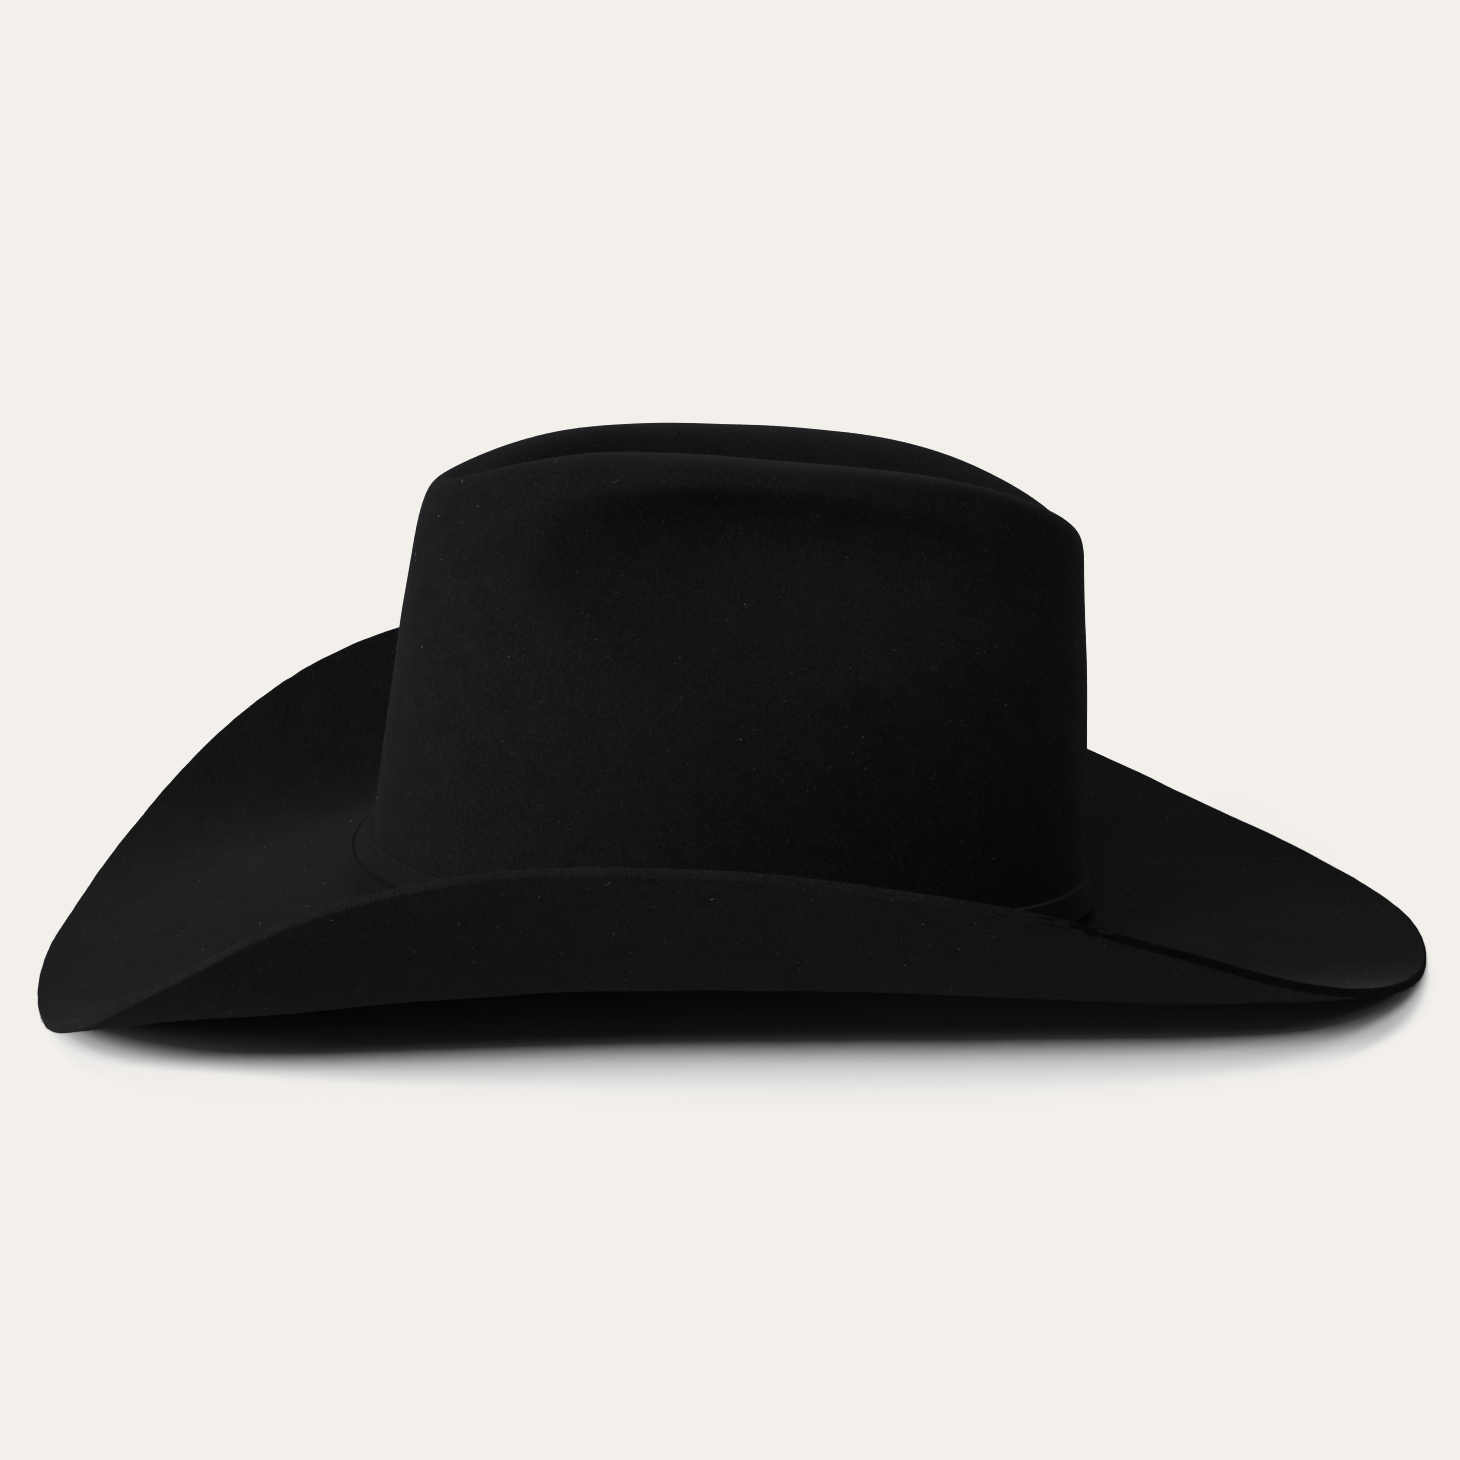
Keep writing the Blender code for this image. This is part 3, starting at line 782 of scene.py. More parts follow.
FELT = Finish("black_fur_felt", (0.0085, 0.0085, 0.0092), (0.0208, 0.0208, 0.0225), SurfaceEffect.NAP,
              1150.0, 0.4, 0.0004, (0.9, 1.0), sheen=0.040, sheen_tint=(0.94, 0.97, 1.0),
              sheen_roughness=0.4, specular=0.03, mottle=0.24, mottle_scale=120.0)
BAND_FELT = replace(FELT, name="black_band_felt")
# Painted highlight: lighter cut-edge felt for the lit front of the brim's edge.
PAINTED_LIT_EDGE = Finish("cut_felt_painted_highlight", (0.0073, 0.0073, 0.0080), (0.0330, 0.0330, 0.0354),
                      SurfaceEffect.NAP, 2000.0, 0.8, 0.0004, (0.9, 1.0), sheen=0.040,
                      sheen_roughness=0.4, specular=0.03, mottle=0.2)
# Painted shade: darker cut-edge felt for the back of the brim's edge, which faces away from the light.
PAINTED_SHADED_EDGE = replace(PAINTED_LIT_EDGE, name="cut_felt_painted_shade", dark=(0.0028, 0.0028, 0.0031),
                   light=(0.0124, 0.0124, 0.0134), sheen=0.015, specular=0.02)
# Painted highlight: lighter felt along the band's cut edges, where the edges catch the light.
BAND_EDGE_HIGHLIGHT = replace(PAINTED_LIT_EDGE, name="band_cut_painted_highlight", dark=(0.0085, 0.0085, 0.0092),
                    light=(0.0390, 0.0390, 0.0418), sheen=0.045)
LINT = Finish("pale_lint", (0.10, 0.10, 0.105), (0.38, 0.38, 0.39), SurfaceEffect.NAP, 900.0, 0.2, 0.0001,
              (0.8, 1.0), specular=0.2)
EDGE_FUZZ = replace(LINT, name="edge_fuzz", dark=(0.035, 0.035, 0.037), light=(0.13, 0.13, 0.135))
NAP_HAIR = Finish("nap_hair", (0.014, 0.014, 0.015), (0.050, 0.050, 0.053), SurfaceEffect.NAP, 700.0, 0.1,
                  0.0001, (0.7, 0.9))
LEATHER = Finish("brown_roan_leather", (0.030, 0.014, 0.008), (0.085, 0.040, 0.020), SurfaceEffect.GRAIN,
                 1400.0, 0.35, 0.0003, (0.38, 0.6), specular=0.45)
TAPE = Finish("woven_tape", (0.016, 0.015, 0.015), (0.040, 0.037, 0.036), SurfaceEffect.RIBS, 700.0, 0.6,
              0.0003, (0.75, 0.95), sheen=0.1, flat=True)
REED = Finish("reed_plastic", (0.36, 0.33, 0.28), (0.50, 0.47, 0.40), SurfaceEffect.MOTTLE, 300.0, 0.1,
              0.0001, (0.35, 0.5))
RIBBON = Finish("ribbed_ribbon", (0.010, 0.010, 0.013), (0.030, 0.030, 0.036), SurfaceEffect.RIBS, 900.0,
                0.7, 0.0003, (0.3, 0.5), sheen=0.2, flat=True, specular=0.5)
SATIN = Finish("charcoal_satin", (0.042, 0.042, 0.047), (0.075, 0.075, 0.085), SurfaceEffect.RIBS, 1600.0,
               0.25, 0.0002, (0.24, 0.4), sheen=0.15, flat=True, specular=0.6)
THREAD = Finish("waxed_thread", (0.02, 0.017, 0.015), (0.06, 0.05, 0.045), SurfaceEffect.RIBS, 2500.0, 0.5,
                0.0002, (0.5, 0.7))


@dataclass(frozen=True)
class LooseHair:
    """Loose hairs: their number, distance off the felt, radii, and mean, least and greatest length."""

    count: int
    stand: float
    radius: tuple[float, float]
    lengths: tuple[float, float, float]

    def strew(self, piece: MeshPiece, roots: Points, ways: Points, dice: Dice, seed: int) -> None:
        """Add the hairs, most of them short.

        Args:
            piece: the piece they go in.
            roots: where they lie.
            ways: directions, of any length.
            dice: draws the lengths and radii.
            seed: picks the bends.
        """
        mean, least, most = self.lengths
        lengths = np.minimum(dice.exponential(mean, len(roots)) + least, most)
        fibres(piece, roots, ways, lengths, dice.uniform(*self.radius, len(roots)), seed)


@dataclass(frozen=True)
class FeltFaces:
    """Rings of the felt's two faces, from the brim's edge to the crease, and the way out of the edge."""

    outer: Points
    inner: Points
    normals: Points
    ahead: Points

    def cut(self, column: Counts, share: Values) -> Points:
        """Places across the cut edge, from the under face (0) to the upper face (1)."""
        return self.outer[0, column] * share + self.inner[0, column] * (1 - share)

    def beside(self, column: Counts) -> Counts:
        """The next column round the edge."""
        return (column + 1) % len(self.ahead)


@dataclass
class FeltBody:
    """Crown and brim of one felt, with its cut edge, nap, lint and edge fuzz."""

    form: HatForm
    columns: int = 320
    brim_rows: int = 48
    fillet_rows: int = 8
    crown_rows: int = 96
    uneven: float = 0.00030
    long_wave: float = 0.075
    short_wave: float = 0.03
    edge_rows: int = 9
    edge_bulge: float = 0.0007
    edge_power: float = 0.6
    edge_rough: float = 0.25
    edge_wave: float = 0.004
    # Painted light on the brim's cut edge: past this distance towards the back, and over the fade, the edge
    # takes the painted shade.
    painted_shade_from: float = 0.035
    painted_shade_fade: float = 0.04
    nap_hairs: int = 9000
    nap_rise: tuple[float, float] = (0.25, 0.8)
    nap_lay: tuple[float, float] = (0.5, 0.7)
    nap_stray: float = 0.25
    nap_lengths: tuple[float, float] = (0.0005, 0.0013)
    under_hairs: int = 3000
    under_rise: float = 0.5
    under_lengths: tuple[float, float] = (0.0005, 0.0012)
    edge_hairs: int = 3600
    edge_stray: float = 0.5
    edge_stand: float = 0.0004
    edge_lengths: tuple[float, float] = (0.0003, 0.0010)
    lint: LooseHair = LooseHair(1600, 0.00005, (3e-5, 7e-5), (0.0003, 0.0002, 0.0016))
    lint_rise: float = 0.35
    fuzz: LooseHair = LooseHair(3600, 0.0006, (1.5e-5, 4e-5), (0.00025, 0.00015, 0.0012))
    fuzz_fade: float = 0.06
    fuzz_least: float = 0.06
    fuzz_floor: float = 0.0008
    floor_zone: float = 0.002

    def outer(self) -> Points:
        """Rings of the felt's upper and outer face, from the brim's edge to the crease."""
        angle = turns(self.columns)
        form = self.form
        brim = form.brim(angle, np.linspace(1.0, form.fillet_reach, self.brim_rows))
        start = float(form.step_at(form.fillet))
        crown = form.stand(form.crown(angle, np.linspace(start, 1.0, self.crown_rows)))
        foot = form.stand(form.crown(angle, [0.0]))[0]
        share = np.linspace(0.0, 1.0, self.fillet_rows + 2)[1:-1, None, None]
        rings = np.concatenate([brim, arc(brim[-1], foot, crown[0], share), crown])
        wave = ripple(rings, self.long_wave, 5) + 0.5 * ripple(rings, self.short_wave, 6)
        return rings + grid_normals(rings) * (self.uneven * wave)[..., None]

    def edge(self, faces: FeltFaces) -> Points:
        """Rings round the cut edge, from the under face to the upper face.

        Args:
            faces: rings of the felt's faces.

        Returns:
            Rings by columns by three.
        """
        rows = []
        rough = 1.0 + self.edge_rough * ripple(faces.outer[0], self.edge_wave, 7)
        for turn in np.linspace(0.0, math.pi, self.edge_rows):
            share = (1.0 - signed_power(math.cos(turn), self.edge_power)) / 2.0
            reach = self.edge_bulge * math.sin(turn) ** self.edge_power * rough
            rows.append(faces.inner[0] * (1 - share) + faces.outer[0] * share + faces.ahead * reach[:, None])
        return np.array(rows)

    def build(self) -> None:
        """Make the felt and what clings to it."""
        outer = self.outer()
        normals = grid_normals(outer)
        faces = FeltFaces(outer, outer - normals * self.form.felt, normals, unit(outer[0] - outer[1]))
        self.build_felt(faces)
        dice = np.random.default_rng(21)
        self.build_nap(faces, dice)
        self.build_lint(faces, dice)
        self.build_fuzz(faces, dice)

    def build_felt(self, faces: FeltFaces) -> None:
        """The felt itself: its cut edge is painted lighter at the lit front, and darker, as painted shade,
        towards the back.

        Args:
            faces: rings of the felt's faces.
        """
        last = len(faces.inner) - 1
        under = faces.inner[np.append(np.arange(0, last, 2), last)]
        stack = np.concatenate([under[:0:-1], self.edge(faces), faces.outer[1:]])
        stack[..., 2] = np.maximum(stack[..., 2], 0.0)
        finish = np.zeros((len(stack) - 1, self.columns), int)
        painted_edge_rows = finish[len(under) - 1:len(under) + self.edge_rows - 2]
        # Painted light: the edge's front rows take the painted highlight, and its back rows the painted
        # shade.
        painted_shade_share = np.clip((faces.outer[0, :, 1] - self.painted_shade_from) / self.painted_shade_fade, 0.0, 1.0)
        painted_edge_rows[:] = 1 + (np.random.default_rng(20).uniform(size=painted_edge_rows.shape) < painted_shade_share)
        felt = MeshPiece("felt_crown_and_brim")
        felt.add_rings(stack, closed=False, finish=finish, pinched=True)
        settle(felt.build(FELT, PAINTED_LIT_EDGE, PAINTED_SHADED_EDGE), Body.HAT, Slot.FELT, "felt_body")

    def off_floor(self, place: Points, ways: Points, least: float) -> None:
        """Lift hair roots to a least height, and turn up the hairs next to the floor."""
        place[:, 2] = np.maximum(place[:, 2], least)
        ways[:, 2] = np.where(place[:, 2] < self.floor_zone, np.abs(ways[:, 2]), ways[:, 2])

    def build_nap(self, faces: FeltFaces, dice: Dice) -> None:
        """Short hairs all over the felt, under its brim and along its cut edge.

        Args:
            faces: rings of the felt's faces.
            dice: draws what differs from hair to hair.
        """
        hair = MeshPiece("felt_nap")
        place, up, along = scatter(faces.outer, faces.normals, self.nap_hairs, 22)
        size = (len(place), 1)
        ways = up * dice.uniform(*self.nap_rise, size) + along * dice.normal(*self.nap_lay, size)
        ways += dice.normal(size=ways.shape) * self.nap_stray
        brush(hair, place, ways, self.nap_lengths, dice, 23)
        brim = slice(0, self.brim_rows)
        place, up, along = scatter(faces.inner[brim], -faces.normals[brim], self.under_hairs, 24)
        ways = up * self.under_rise + along * dice.normal(*self.nap_lay, (len(place), 1))
        ways += dice.normal(size=ways.shape) * self.nap_stray
        brush(hair, place, ways, self.under_lengths, dice, 25)
        column = dice.integers(0, self.columns, self.edge_hairs)
        share = dice.uniform(0.0, 1.0, (self.edge_hairs, 1))
        mixed = dice.uniform(0.0, 1.0, (self.edge_hairs, 1))
        place = faces.cut(column, share) * mixed + faces.cut(faces.beside(column), share) * (1 - mixed)
        place += faces.ahead[column] * self.edge_stand
        ways = faces.ahead[column] + faces.normals[0, column] * (share - 0.5)
        ways += dice.normal(size=ways.shape) * self.edge_stray
        self.off_floor(place, ways, self.edge_stand)
        brush(hair, place, ways, self.edge_lengths, dice, 26)
        settle(hair.build(NAP_HAIR), Body.HAT, Slot.FELT)

    def build_lint(self, faces: FeltFaces, dice: Dice) -> None:
        """Pale lint that lies on the felt and under its brim.

        Args:
            faces: rings of the felt's faces.
            dice: draws what differs from hair to hair.
        """
        lint = MeshPiece("felt_lint")
        brim = slice(0, self.brim_rows)
        skins = ((faces.outer, faces.normals, 27), (faces.inner[brim], -faces.normals[brim], 29))
        for rings, normals, seed in skins:
            place, up, along = scatter(rings, normals, self.lint.count, seed)
            size = (len(place), 1)
            ways = along * dice.normal(size=size) + np.cross(up, along) * dice.normal(size=size)
            ways += up * self.lint_rise
            self.lint.strew(lint, place + up * self.lint.stand, ways, dice, seed + 1)
        settle(lint.build(LINT), Body.HAT, Slot.FELT)

    def build_fuzz(self, faces: FeltFaces, dice: Dice) -> None:
        """Paler fuzz along the cut edge, crowded on its lit front as a painted highlight.

        Args:
            faces: rings of the felt's faces.
            dice: draws what differs from hair to hair.
        """
        fuzz = MeshPiece("felt_edge_fuzz")
        size = (self.fuzz.count, 1)
        # Painted highlight: the pale fuzz is weighted towards the lit front of the brim.
        front = np.clip((self.fuzz_fade - faces.outer[0, :, 1]) / self.fuzz_fade, self.fuzz_least, 1.0)
        column = dice.choice(self.columns, self.fuzz.count, p=front / front.sum())
        share = dice.uniform(0.1, 1.0, size)
        place = faces.cut(column, share) + faces.ahead[column] * self.fuzz.stand
        step = faces.outer[0, faces.beside(column)] - faces.outer[0, column]
        place += step * dice.uniform(size=size)
        ways = faces.ahead[column] * 0.5 + faces.normals[0, column] * (share - 0.5)
        ways += dice.normal(size=ways.shape)
        self.off_floor(place, ways, self.fuzz_floor)
        self.fuzz.strew(fuzz, place, ways, dice, 31)
        settle(fuzz.build(EDGE_FUZZ), Body.HAT, Slot.FELT)


@dataclass
class HatBand:
    """Felt strip round the crown's foot, and the loop that keeps its ends together."""

    form: HatForm
    columns: int = 360
    foot: tuple[float, ...] = (0.0042, 0.0050, 0.0050)
    top: tuple[float, ...] = (0.0108, 0.0127, 0.0127)
    foot_out: tuple[float, ...] = (0.0060, 0.0055, 0.0044, 0.0036, 0.0034)
    top_out: tuple[float, ...] = (0.0017, 0.0029, 0.0017)
    thick: float = 0.0014
    corner: float = 0.00035
    corner_rings: int = 5
    side_shares: tuple[float, ...] = (0.15, 0.5, 0.85)
    side_reach: float = 0.7
    foot_rings: ClassVar[slice] = slice(0, 13)
    back_rings: ClassVar[slice] = slice(24, None)
    foot_cut: ClassVar[slice] = slice(1, 10)
    top_cut: ClassVar[slice] = slice(18, 26)
    hair_rings: tuple[int, ...] = (10, 18, 26)
    snug: float = 0.0005
    front_lift: float = 0.0014
    wander: float = 0.00018
    sway: float = 0.00016
    joint_off: float = 0.11
    joint_half: float = 0.004
    joint_depth: float = 0.0003
    keeper_angle: float = math.pi / 2.0
    keeper_length: float = 0.011
    keeper_thick: float = 0.0008
    keeper_gap: float = 0.0003
    keeper_ease: float = 0.0002
    edge_hairs: int = 2200

    def corners(self, angle: Values, gap: float) -> Points:
        """Height and distance out of the strip's four corners, grown by a gap.

        Args:
            angle: angles round the hat.
            gap: how far the strip is grown.

        Returns:
            Height and distance out, for each corner and angle.
        """
        low, high, low_out, high_out = (self.form.round_hat(values, angle, Wave.EVEN)
                                        for values in (self.foot, self.top, self.foot_out, self.top_out))
        low, high = low - gap, high + gap
        inner = self.thick + gap
        return np.array([[low, low_out - inner], [low, low_out + gap],
                         [high, high_out + gap], [high, high_out - inner]])

    def section(self, angle: Values, gap: float, corner: float) -> Points:
        """Rings round the strip with rounded corners.

        Args:
            angle: angles round the hat.
            gap: how far the section is grown.
            corner: corner radius.

        Returns:
            Height and distance out, for each ring and angle.
        """
        corners = self.corners(angle, gap)
        rings = []
        for here, back, ahead in zip(corners, np.roll(corners, 1, axis=0), np.roll(corners, -1, axis=0)):
            start = here + (back - here) * corner / np.linalg.norm(back - here, axis=0)
            end = here + (ahead - here) * corner / np.linalg.norm(ahead - here, axis=0)
            rings.extend(arc(start, here, end, share) for share in np.linspace(0.0, 1.0, self.corner_rings))
            rings.extend(end + (ahead - here) * share * self.side_reach for share in self.side_shares)
        return np.array(rings)

    def build(self) -> None:
        """Make the strip, its loop and the hairs on its cut edges."""
        angle = turns(self.columns)
        plan = plan_of(angle)
        flat = self.section(angle, 0.0, self.corner)
        flat[self.back_rings, 1] -= self.snug
        flat[self.foot_rings, 0] += self.front_lift * np.clip(np.cos(angle), 0.0, 1.0) ** 0.5
        flat[:, 0] += self.wander * ripple(plan, 0.05, 31)
        flat[:, 1] += self.sway * ripple(plan, 0.035, 32)
        joint = np.abs(angle - self.keeper_angle - self.joint_off) < self.joint_half
        flat[:, 1] -= np.where(joint, self.joint_depth, 0.0)
        rings = self.form.loops(angle, flat)
        # The band's foot and top cut edges take the painted highlight finish.
        finish = np.zeros(len(rings), int)
        finish[self.foot_cut] = 1
        finish[self.top_cut] = 1
        strip = MeshPiece("hat_band_strip")
        strip.add_rings(rings, closed=True, finish=finish)
        settle(strip.build(BAND_FELT, BAND_EDGE_HIGHLIGHT), Body.BAND, Slot.BAND_FELT, "hat_band")
        self.build_keeper()
        self.build_hairs(rings)

    def build_keeper(self) -> None:
        """Loop of thin felt round the strip."""
        half = self.keeper_length / 2.0 / self.form.foot_half_width
        inside, outside = self.keeper_gap, self.keeper_gap + self.keeper_thick
        eased = outside - self.keeper_ease
        rows = []
        for share, gap in ((-1.0, eased), (-0.96, outside), (-0.5, outside), (0.0, outside), (0.5, outside),
                           (0.96, outside), (1.0, eased), (1.0, inside), (0.0, inside), (-1.0, inside)):
            angle = np.array([self.keeper_angle + half * share])
            rows.append(self.form.loops(angle, self.section(angle, gap, self.corner + gap))[:, 0])
        keeper = MeshPiece("hat_band_loop")
        keeper.add_rings(np.array(rows), closed=True)
        settle(keeper.build(BAND_FELT), Body.BAND, Slot.BAND_FELT, "hat_band_keeper")

    def build_hairs(self, rings: Points) -> None:
        """Fuzz along the strip's upper and lower cut edges.

        Args:
            rings: rings round the strip.
        """
        dice = np.random.default_rng(33)
        hair = MeshPiece("hat_band_nap")
        middle = rings.mean(axis=0)
        for row in self.hair_rings:
            column = dice.integers(0, self.columns, self.edge_hairs // len(self.hair_rings))
            mixed = dice.uniform(size=(len(column), 1))
            place = rings[row, column] * mixed + np.roll(rings[row], -1, 0)[column] * (1 - mixed)
            ways = unit(place - middle[column])
            ways += dice.normal(size=ways.shape) * 0.5
            brush(hair, place, ways, (0.0003, 0.0009), dice, 34 + row)
        settle(hair.build(NAP_HAIR), Body.BAND, Slot.BAND_FELT)


@dataclass
class Sweatband:
    """Leather strip inside the crown with its tape, reed, stitches, seam tab and bow."""

    form: HatForm
    columns: int = 300
    leather: float = 0.0013
    leather_rows: int = 28
    leather_wave: float = 0.0004
    leather_lift: float = 0.0005
    edge_thin: float = 0.75
    edge_round: float = 0.4
    edge_rise: float = 0.0003
    edge_drop: float = 0.0002
    heights: tuple[float, ...] = (0.0010, 0.012, 0.028, 0.057)
    insets: tuple[float, ...] = (0.0034, 0.0044, 0.0072, 0.0090)
    reed_inset: float = 0.0046
    reed_radius: float = 0.0008
    reed_height: float = -0.0009
    reed_sides: int = 12
    tape_top: float = 0.0007
    tape_floor: float = -0.00235
    tape_half_top: float = 0.00165
    tape_half_floor: float = 0.0014
    tape_wall: float = 0.0004
    tape_turn: float = 0.0006
    tape_fold: float = 0.0002
    tape_bulge: float = 0.00005
    tape_lip: float = 0.0001
    stitches: int = 200
    stitch_length: float = 0.0026
    stitch_height: float = 0.0034
    stitch_slant: float = 0.0003
    stitch_radius: float = 0.00022
    stitch_proud: float = 0.00005
    mean_reach: float = 0.095
    back_reach: float = 0.0985
    trim_gap: float = 0.0004
    tab_width: float = 0.014
    tab_thick: float = 0.0009
    tab_foot: float = 0.004
    tab_top: float = 0.054
    tab_corner: float = 0.003
    tab_rows: int = 26
    tab_sides: int = 32
    zigzag: float = 0.0011
    zigzag_step: float = 0.0022
    zigzag_ends: tuple[float, float] = (0.008, 0.050)
    zigzag_radius: float = 0.0002
    zigzag_proud: float = 0.0001
    bow_stand_off: float = 0.0006
    bow_width: float = 0.030
    bow_height: float = 0.013
    bow_waist: float = 0.0045
    bow_thick: float = 0.0014
    bow_middle: float = 0.018
    bow_rows: int = 26
    knot_width: float = 0.006
    knot_height: float = 0.0085
    knot_thick: float = 0.0022
    knot_rows: int = 16
    ribbon_sides: int = 28
    ribbon_creases: float = 7.0
    ribbon_crease: float = 0.18

    def inset_at(self, height: Values | float) -> Values:
        """Inset of the leather's outer face at heights, as a smooth curve through the known ones."""
        return np.polyval(np.polyfit(self.heights, self.insets, 3), np.maximum(height, self.heights[0]))

    def build(self) -> None:
        """Make every piece of the sweatband."""
        self.build_leather()
        self.build_tape()
        self.build_stitches()
        self.build_tab()
        self.build_bow()

    def build_leather(self) -> None:
        """The strip itself, with rounded edges and a slightly wavy free edge."""
        angle = turns(self.columns)
        plan = plan_of(angle)
        rows = self.leather_rows
        levels = np.linspace(self.heights[0], self.heights[-1], rows)
        share = np.linspace(0.0, 1.0, rows) ** 2
        pull = np.full(rows, self.leather)
        pull[[0, -1]] *= self.edge_thin
        wave = self.leather_wave * ripple(plan, 0.05, 41)
        lift = self.leather_lift * ripple(plan, 0.12, 42)
        outside, inside = [], []
        for level, sway, thick in zip(levels, share, pull):
            inset = self.inset_at(level) + wave * sway
            outside.append((level + lift * sway, -inset))
            inside.append((level + lift * sway, -(inset + thick)))
        fullness = self.leather * self.edge_round
        top = (outside[-1][0] + self.edge_rise, outside[-1][1] - fullness)
        bottom = (inside[0][0] - self.edge_drop, inside[0][1] + fullness)
        strip = MeshPiece("sweatband_leather")
        strip.add_rings(self.form.loops(angle, [*outside, top, *inside[::-1], bottom]), closed=True)
        settle(strip.build(LEATHER), Body.HAT, Slot.LEATHER, "sweatband")

    def build_tape(self) -> None:
        """Folded tape and the reed inside it."""
        angle = turns(self.columns)
        top, floor, wall = self.tape_top, self.tape_floor, self.tape_wall
        half_top, half_floor = self.tape_half_top, self.tape_half_floor
        side = [(top, -half_top), (floor + self.tape_turn, -half_floor - self.tape_bulge),
                (floor + self.tape_fold, self.tape_fold - half_floor), (floor, self.tape_turn - half_floor)]
        lining = [(top + self.tape_lip, half_top - wall / 2), (top, half_top - wall),
                  (floor + wall, half_floor - wall)]
        outline = [pair for run in (side, lining) for pair in run + [(up, -inset) for up, inset in run[::-1]]]
        tape = MeshPiece("sweatband_fold_tape")
        tape.add_rings(self.form.loops(angle, [(up, -(self.reed_inset + inset)) for up, inset in outline]),
                       closed=True)
        settle(tape.build(TAPE), Body.HAT, Slot.TAPE, "sweatband_tape")
        size = self.reed_radius
        outline = [(self.reed_height + size * math.sin(turn), -(self.reed_inset + size * math.cos(turn)))
                   for turn in turns(self.reed_sides)]
        reed = MeshPiece("sweatband_reed_cord")
        reed.add_rings(self.form.loops(angle, outline), closed=True)
        settle(reed.build(REED), Body.HAT, Slot.REED, "sweatband_reed")

    def build_stitches(self) -> None:
        """Row of slanted stitches through the leather above the tape."""
        angle = turns(self.stitches)
        half = self.stitch_length / self.mean_reach / 2.0
        face = self.inset_at(self.stitch_height) + self.leather + self.stitch_proud
        ends = [self.form.wall(angle + half * way, self.stitch_height + self.stitch_slant * way, -face)
                for way in (-1.0, 1.0)]
        thread = MeshPiece("sweatband_stitches")
        capsules(thread, *ends, self.stitch_radius)
        settle(thread.build(THREAD), Body.HAT, Slot.TAPE)

    def back_point(self, across: Values | float, height: Values | float, depth: Values | float) -> Points:
        """Points at the back of the sweatband, a depth in front of its inner face.

        Args:
            across: distances from the back seam.
            height: heights above the crown's foot.
            depth: depths in front of the leather.

        Returns:
            One point for each.
        """
        across, height, depth = np.broadcast_arrays(across, height, depth)
        angle = math.pi - across / self.back_reach
        return self.form.wall(angle, height, -(self.inset_at(height) + self.leather + depth))

    def build_tab(self) -> None:
        """Leather tab over the back seam, with a zigzag stitch down each side."""
        half = self.tab_width / 2.0
        middle = self.trim_gap + self.tab_thick / 2.0
        turn = turns(self.tab_sides)
        side, out = signed_power(np.cos(turn), 0.2), signed_power(np.sin(turn), 0.35)
        corner = self.tab_corner
        rings = []
        for level in np.linspace(self.tab_foot, self.tab_top, self.tab_rows):
            end = min(level - self.tab_foot, self.tab_top - level)
            wide = half - corner + math.sqrt(max(0.0, corner ** 2 - max(0.0, corner - end) ** 2))
            thick = self.tab_thick / 2.0 * (0.8 if end < 0.0005 else 1.0)
            rings.append(self.back_point(wide * side, level, middle + thick * out))
        tab = MeshPiece("sweatband_back_tab")
        tab.add_capped(np.array(rings))
        settle(tab.build(LEATHER), Body.HAT, Slot.LEATHER, "sweatband_seam_tab")
        height = np.arange(*self.zigzag_ends, self.zigzag_step)
        swing = np.where(np.arange(len(height)) % 2 == 0, -self.zigzag, self.zigzag)
        thread = MeshPiece("sweatband_tab_stitches")
        depth = self.trim_gap + self.tab_thick + self.zigzag_proud
        for centre in (corner - half, half - corner):
            points = self.back_point(centre + swing, height, depth)
            capsules(thread, points[:-1], points[1:], self.zigzag_radius)
        settle(thread.build(THREAD), Body.HAT, Slot.TAPE)

    def pillow(self, piece: MeshPiece, share: Values, half: tuple[Values, Values], across: Values,
               depth: float) -> None:
        """Add a closed rounded strip of ribbon across the back.

        Args:
            piece: the piece it goes in.
            share: shares of the way, one for each section.
            half: half heights and half thicknesses of the sections.
            across: distances of the sections across the back.
            depth: depth of its middle.
        """
        turn = turns(self.ribbon_sides)
        up, out = signed_power(np.cos(turn), 0.5), signed_power(np.sin(turn), 0.5)
        rings = []
        for way, tall, thick, place in zip(share, *half, across):
            crease = 1.0 + self.ribbon_crease * np.cos(turn * self.ribbon_creases) * (1.0 - way)
            rings.append(self.back_point(place, self.bow_middle + tall * up, depth + thick * out * crease))
        piece.add_capped(np.array(rings))

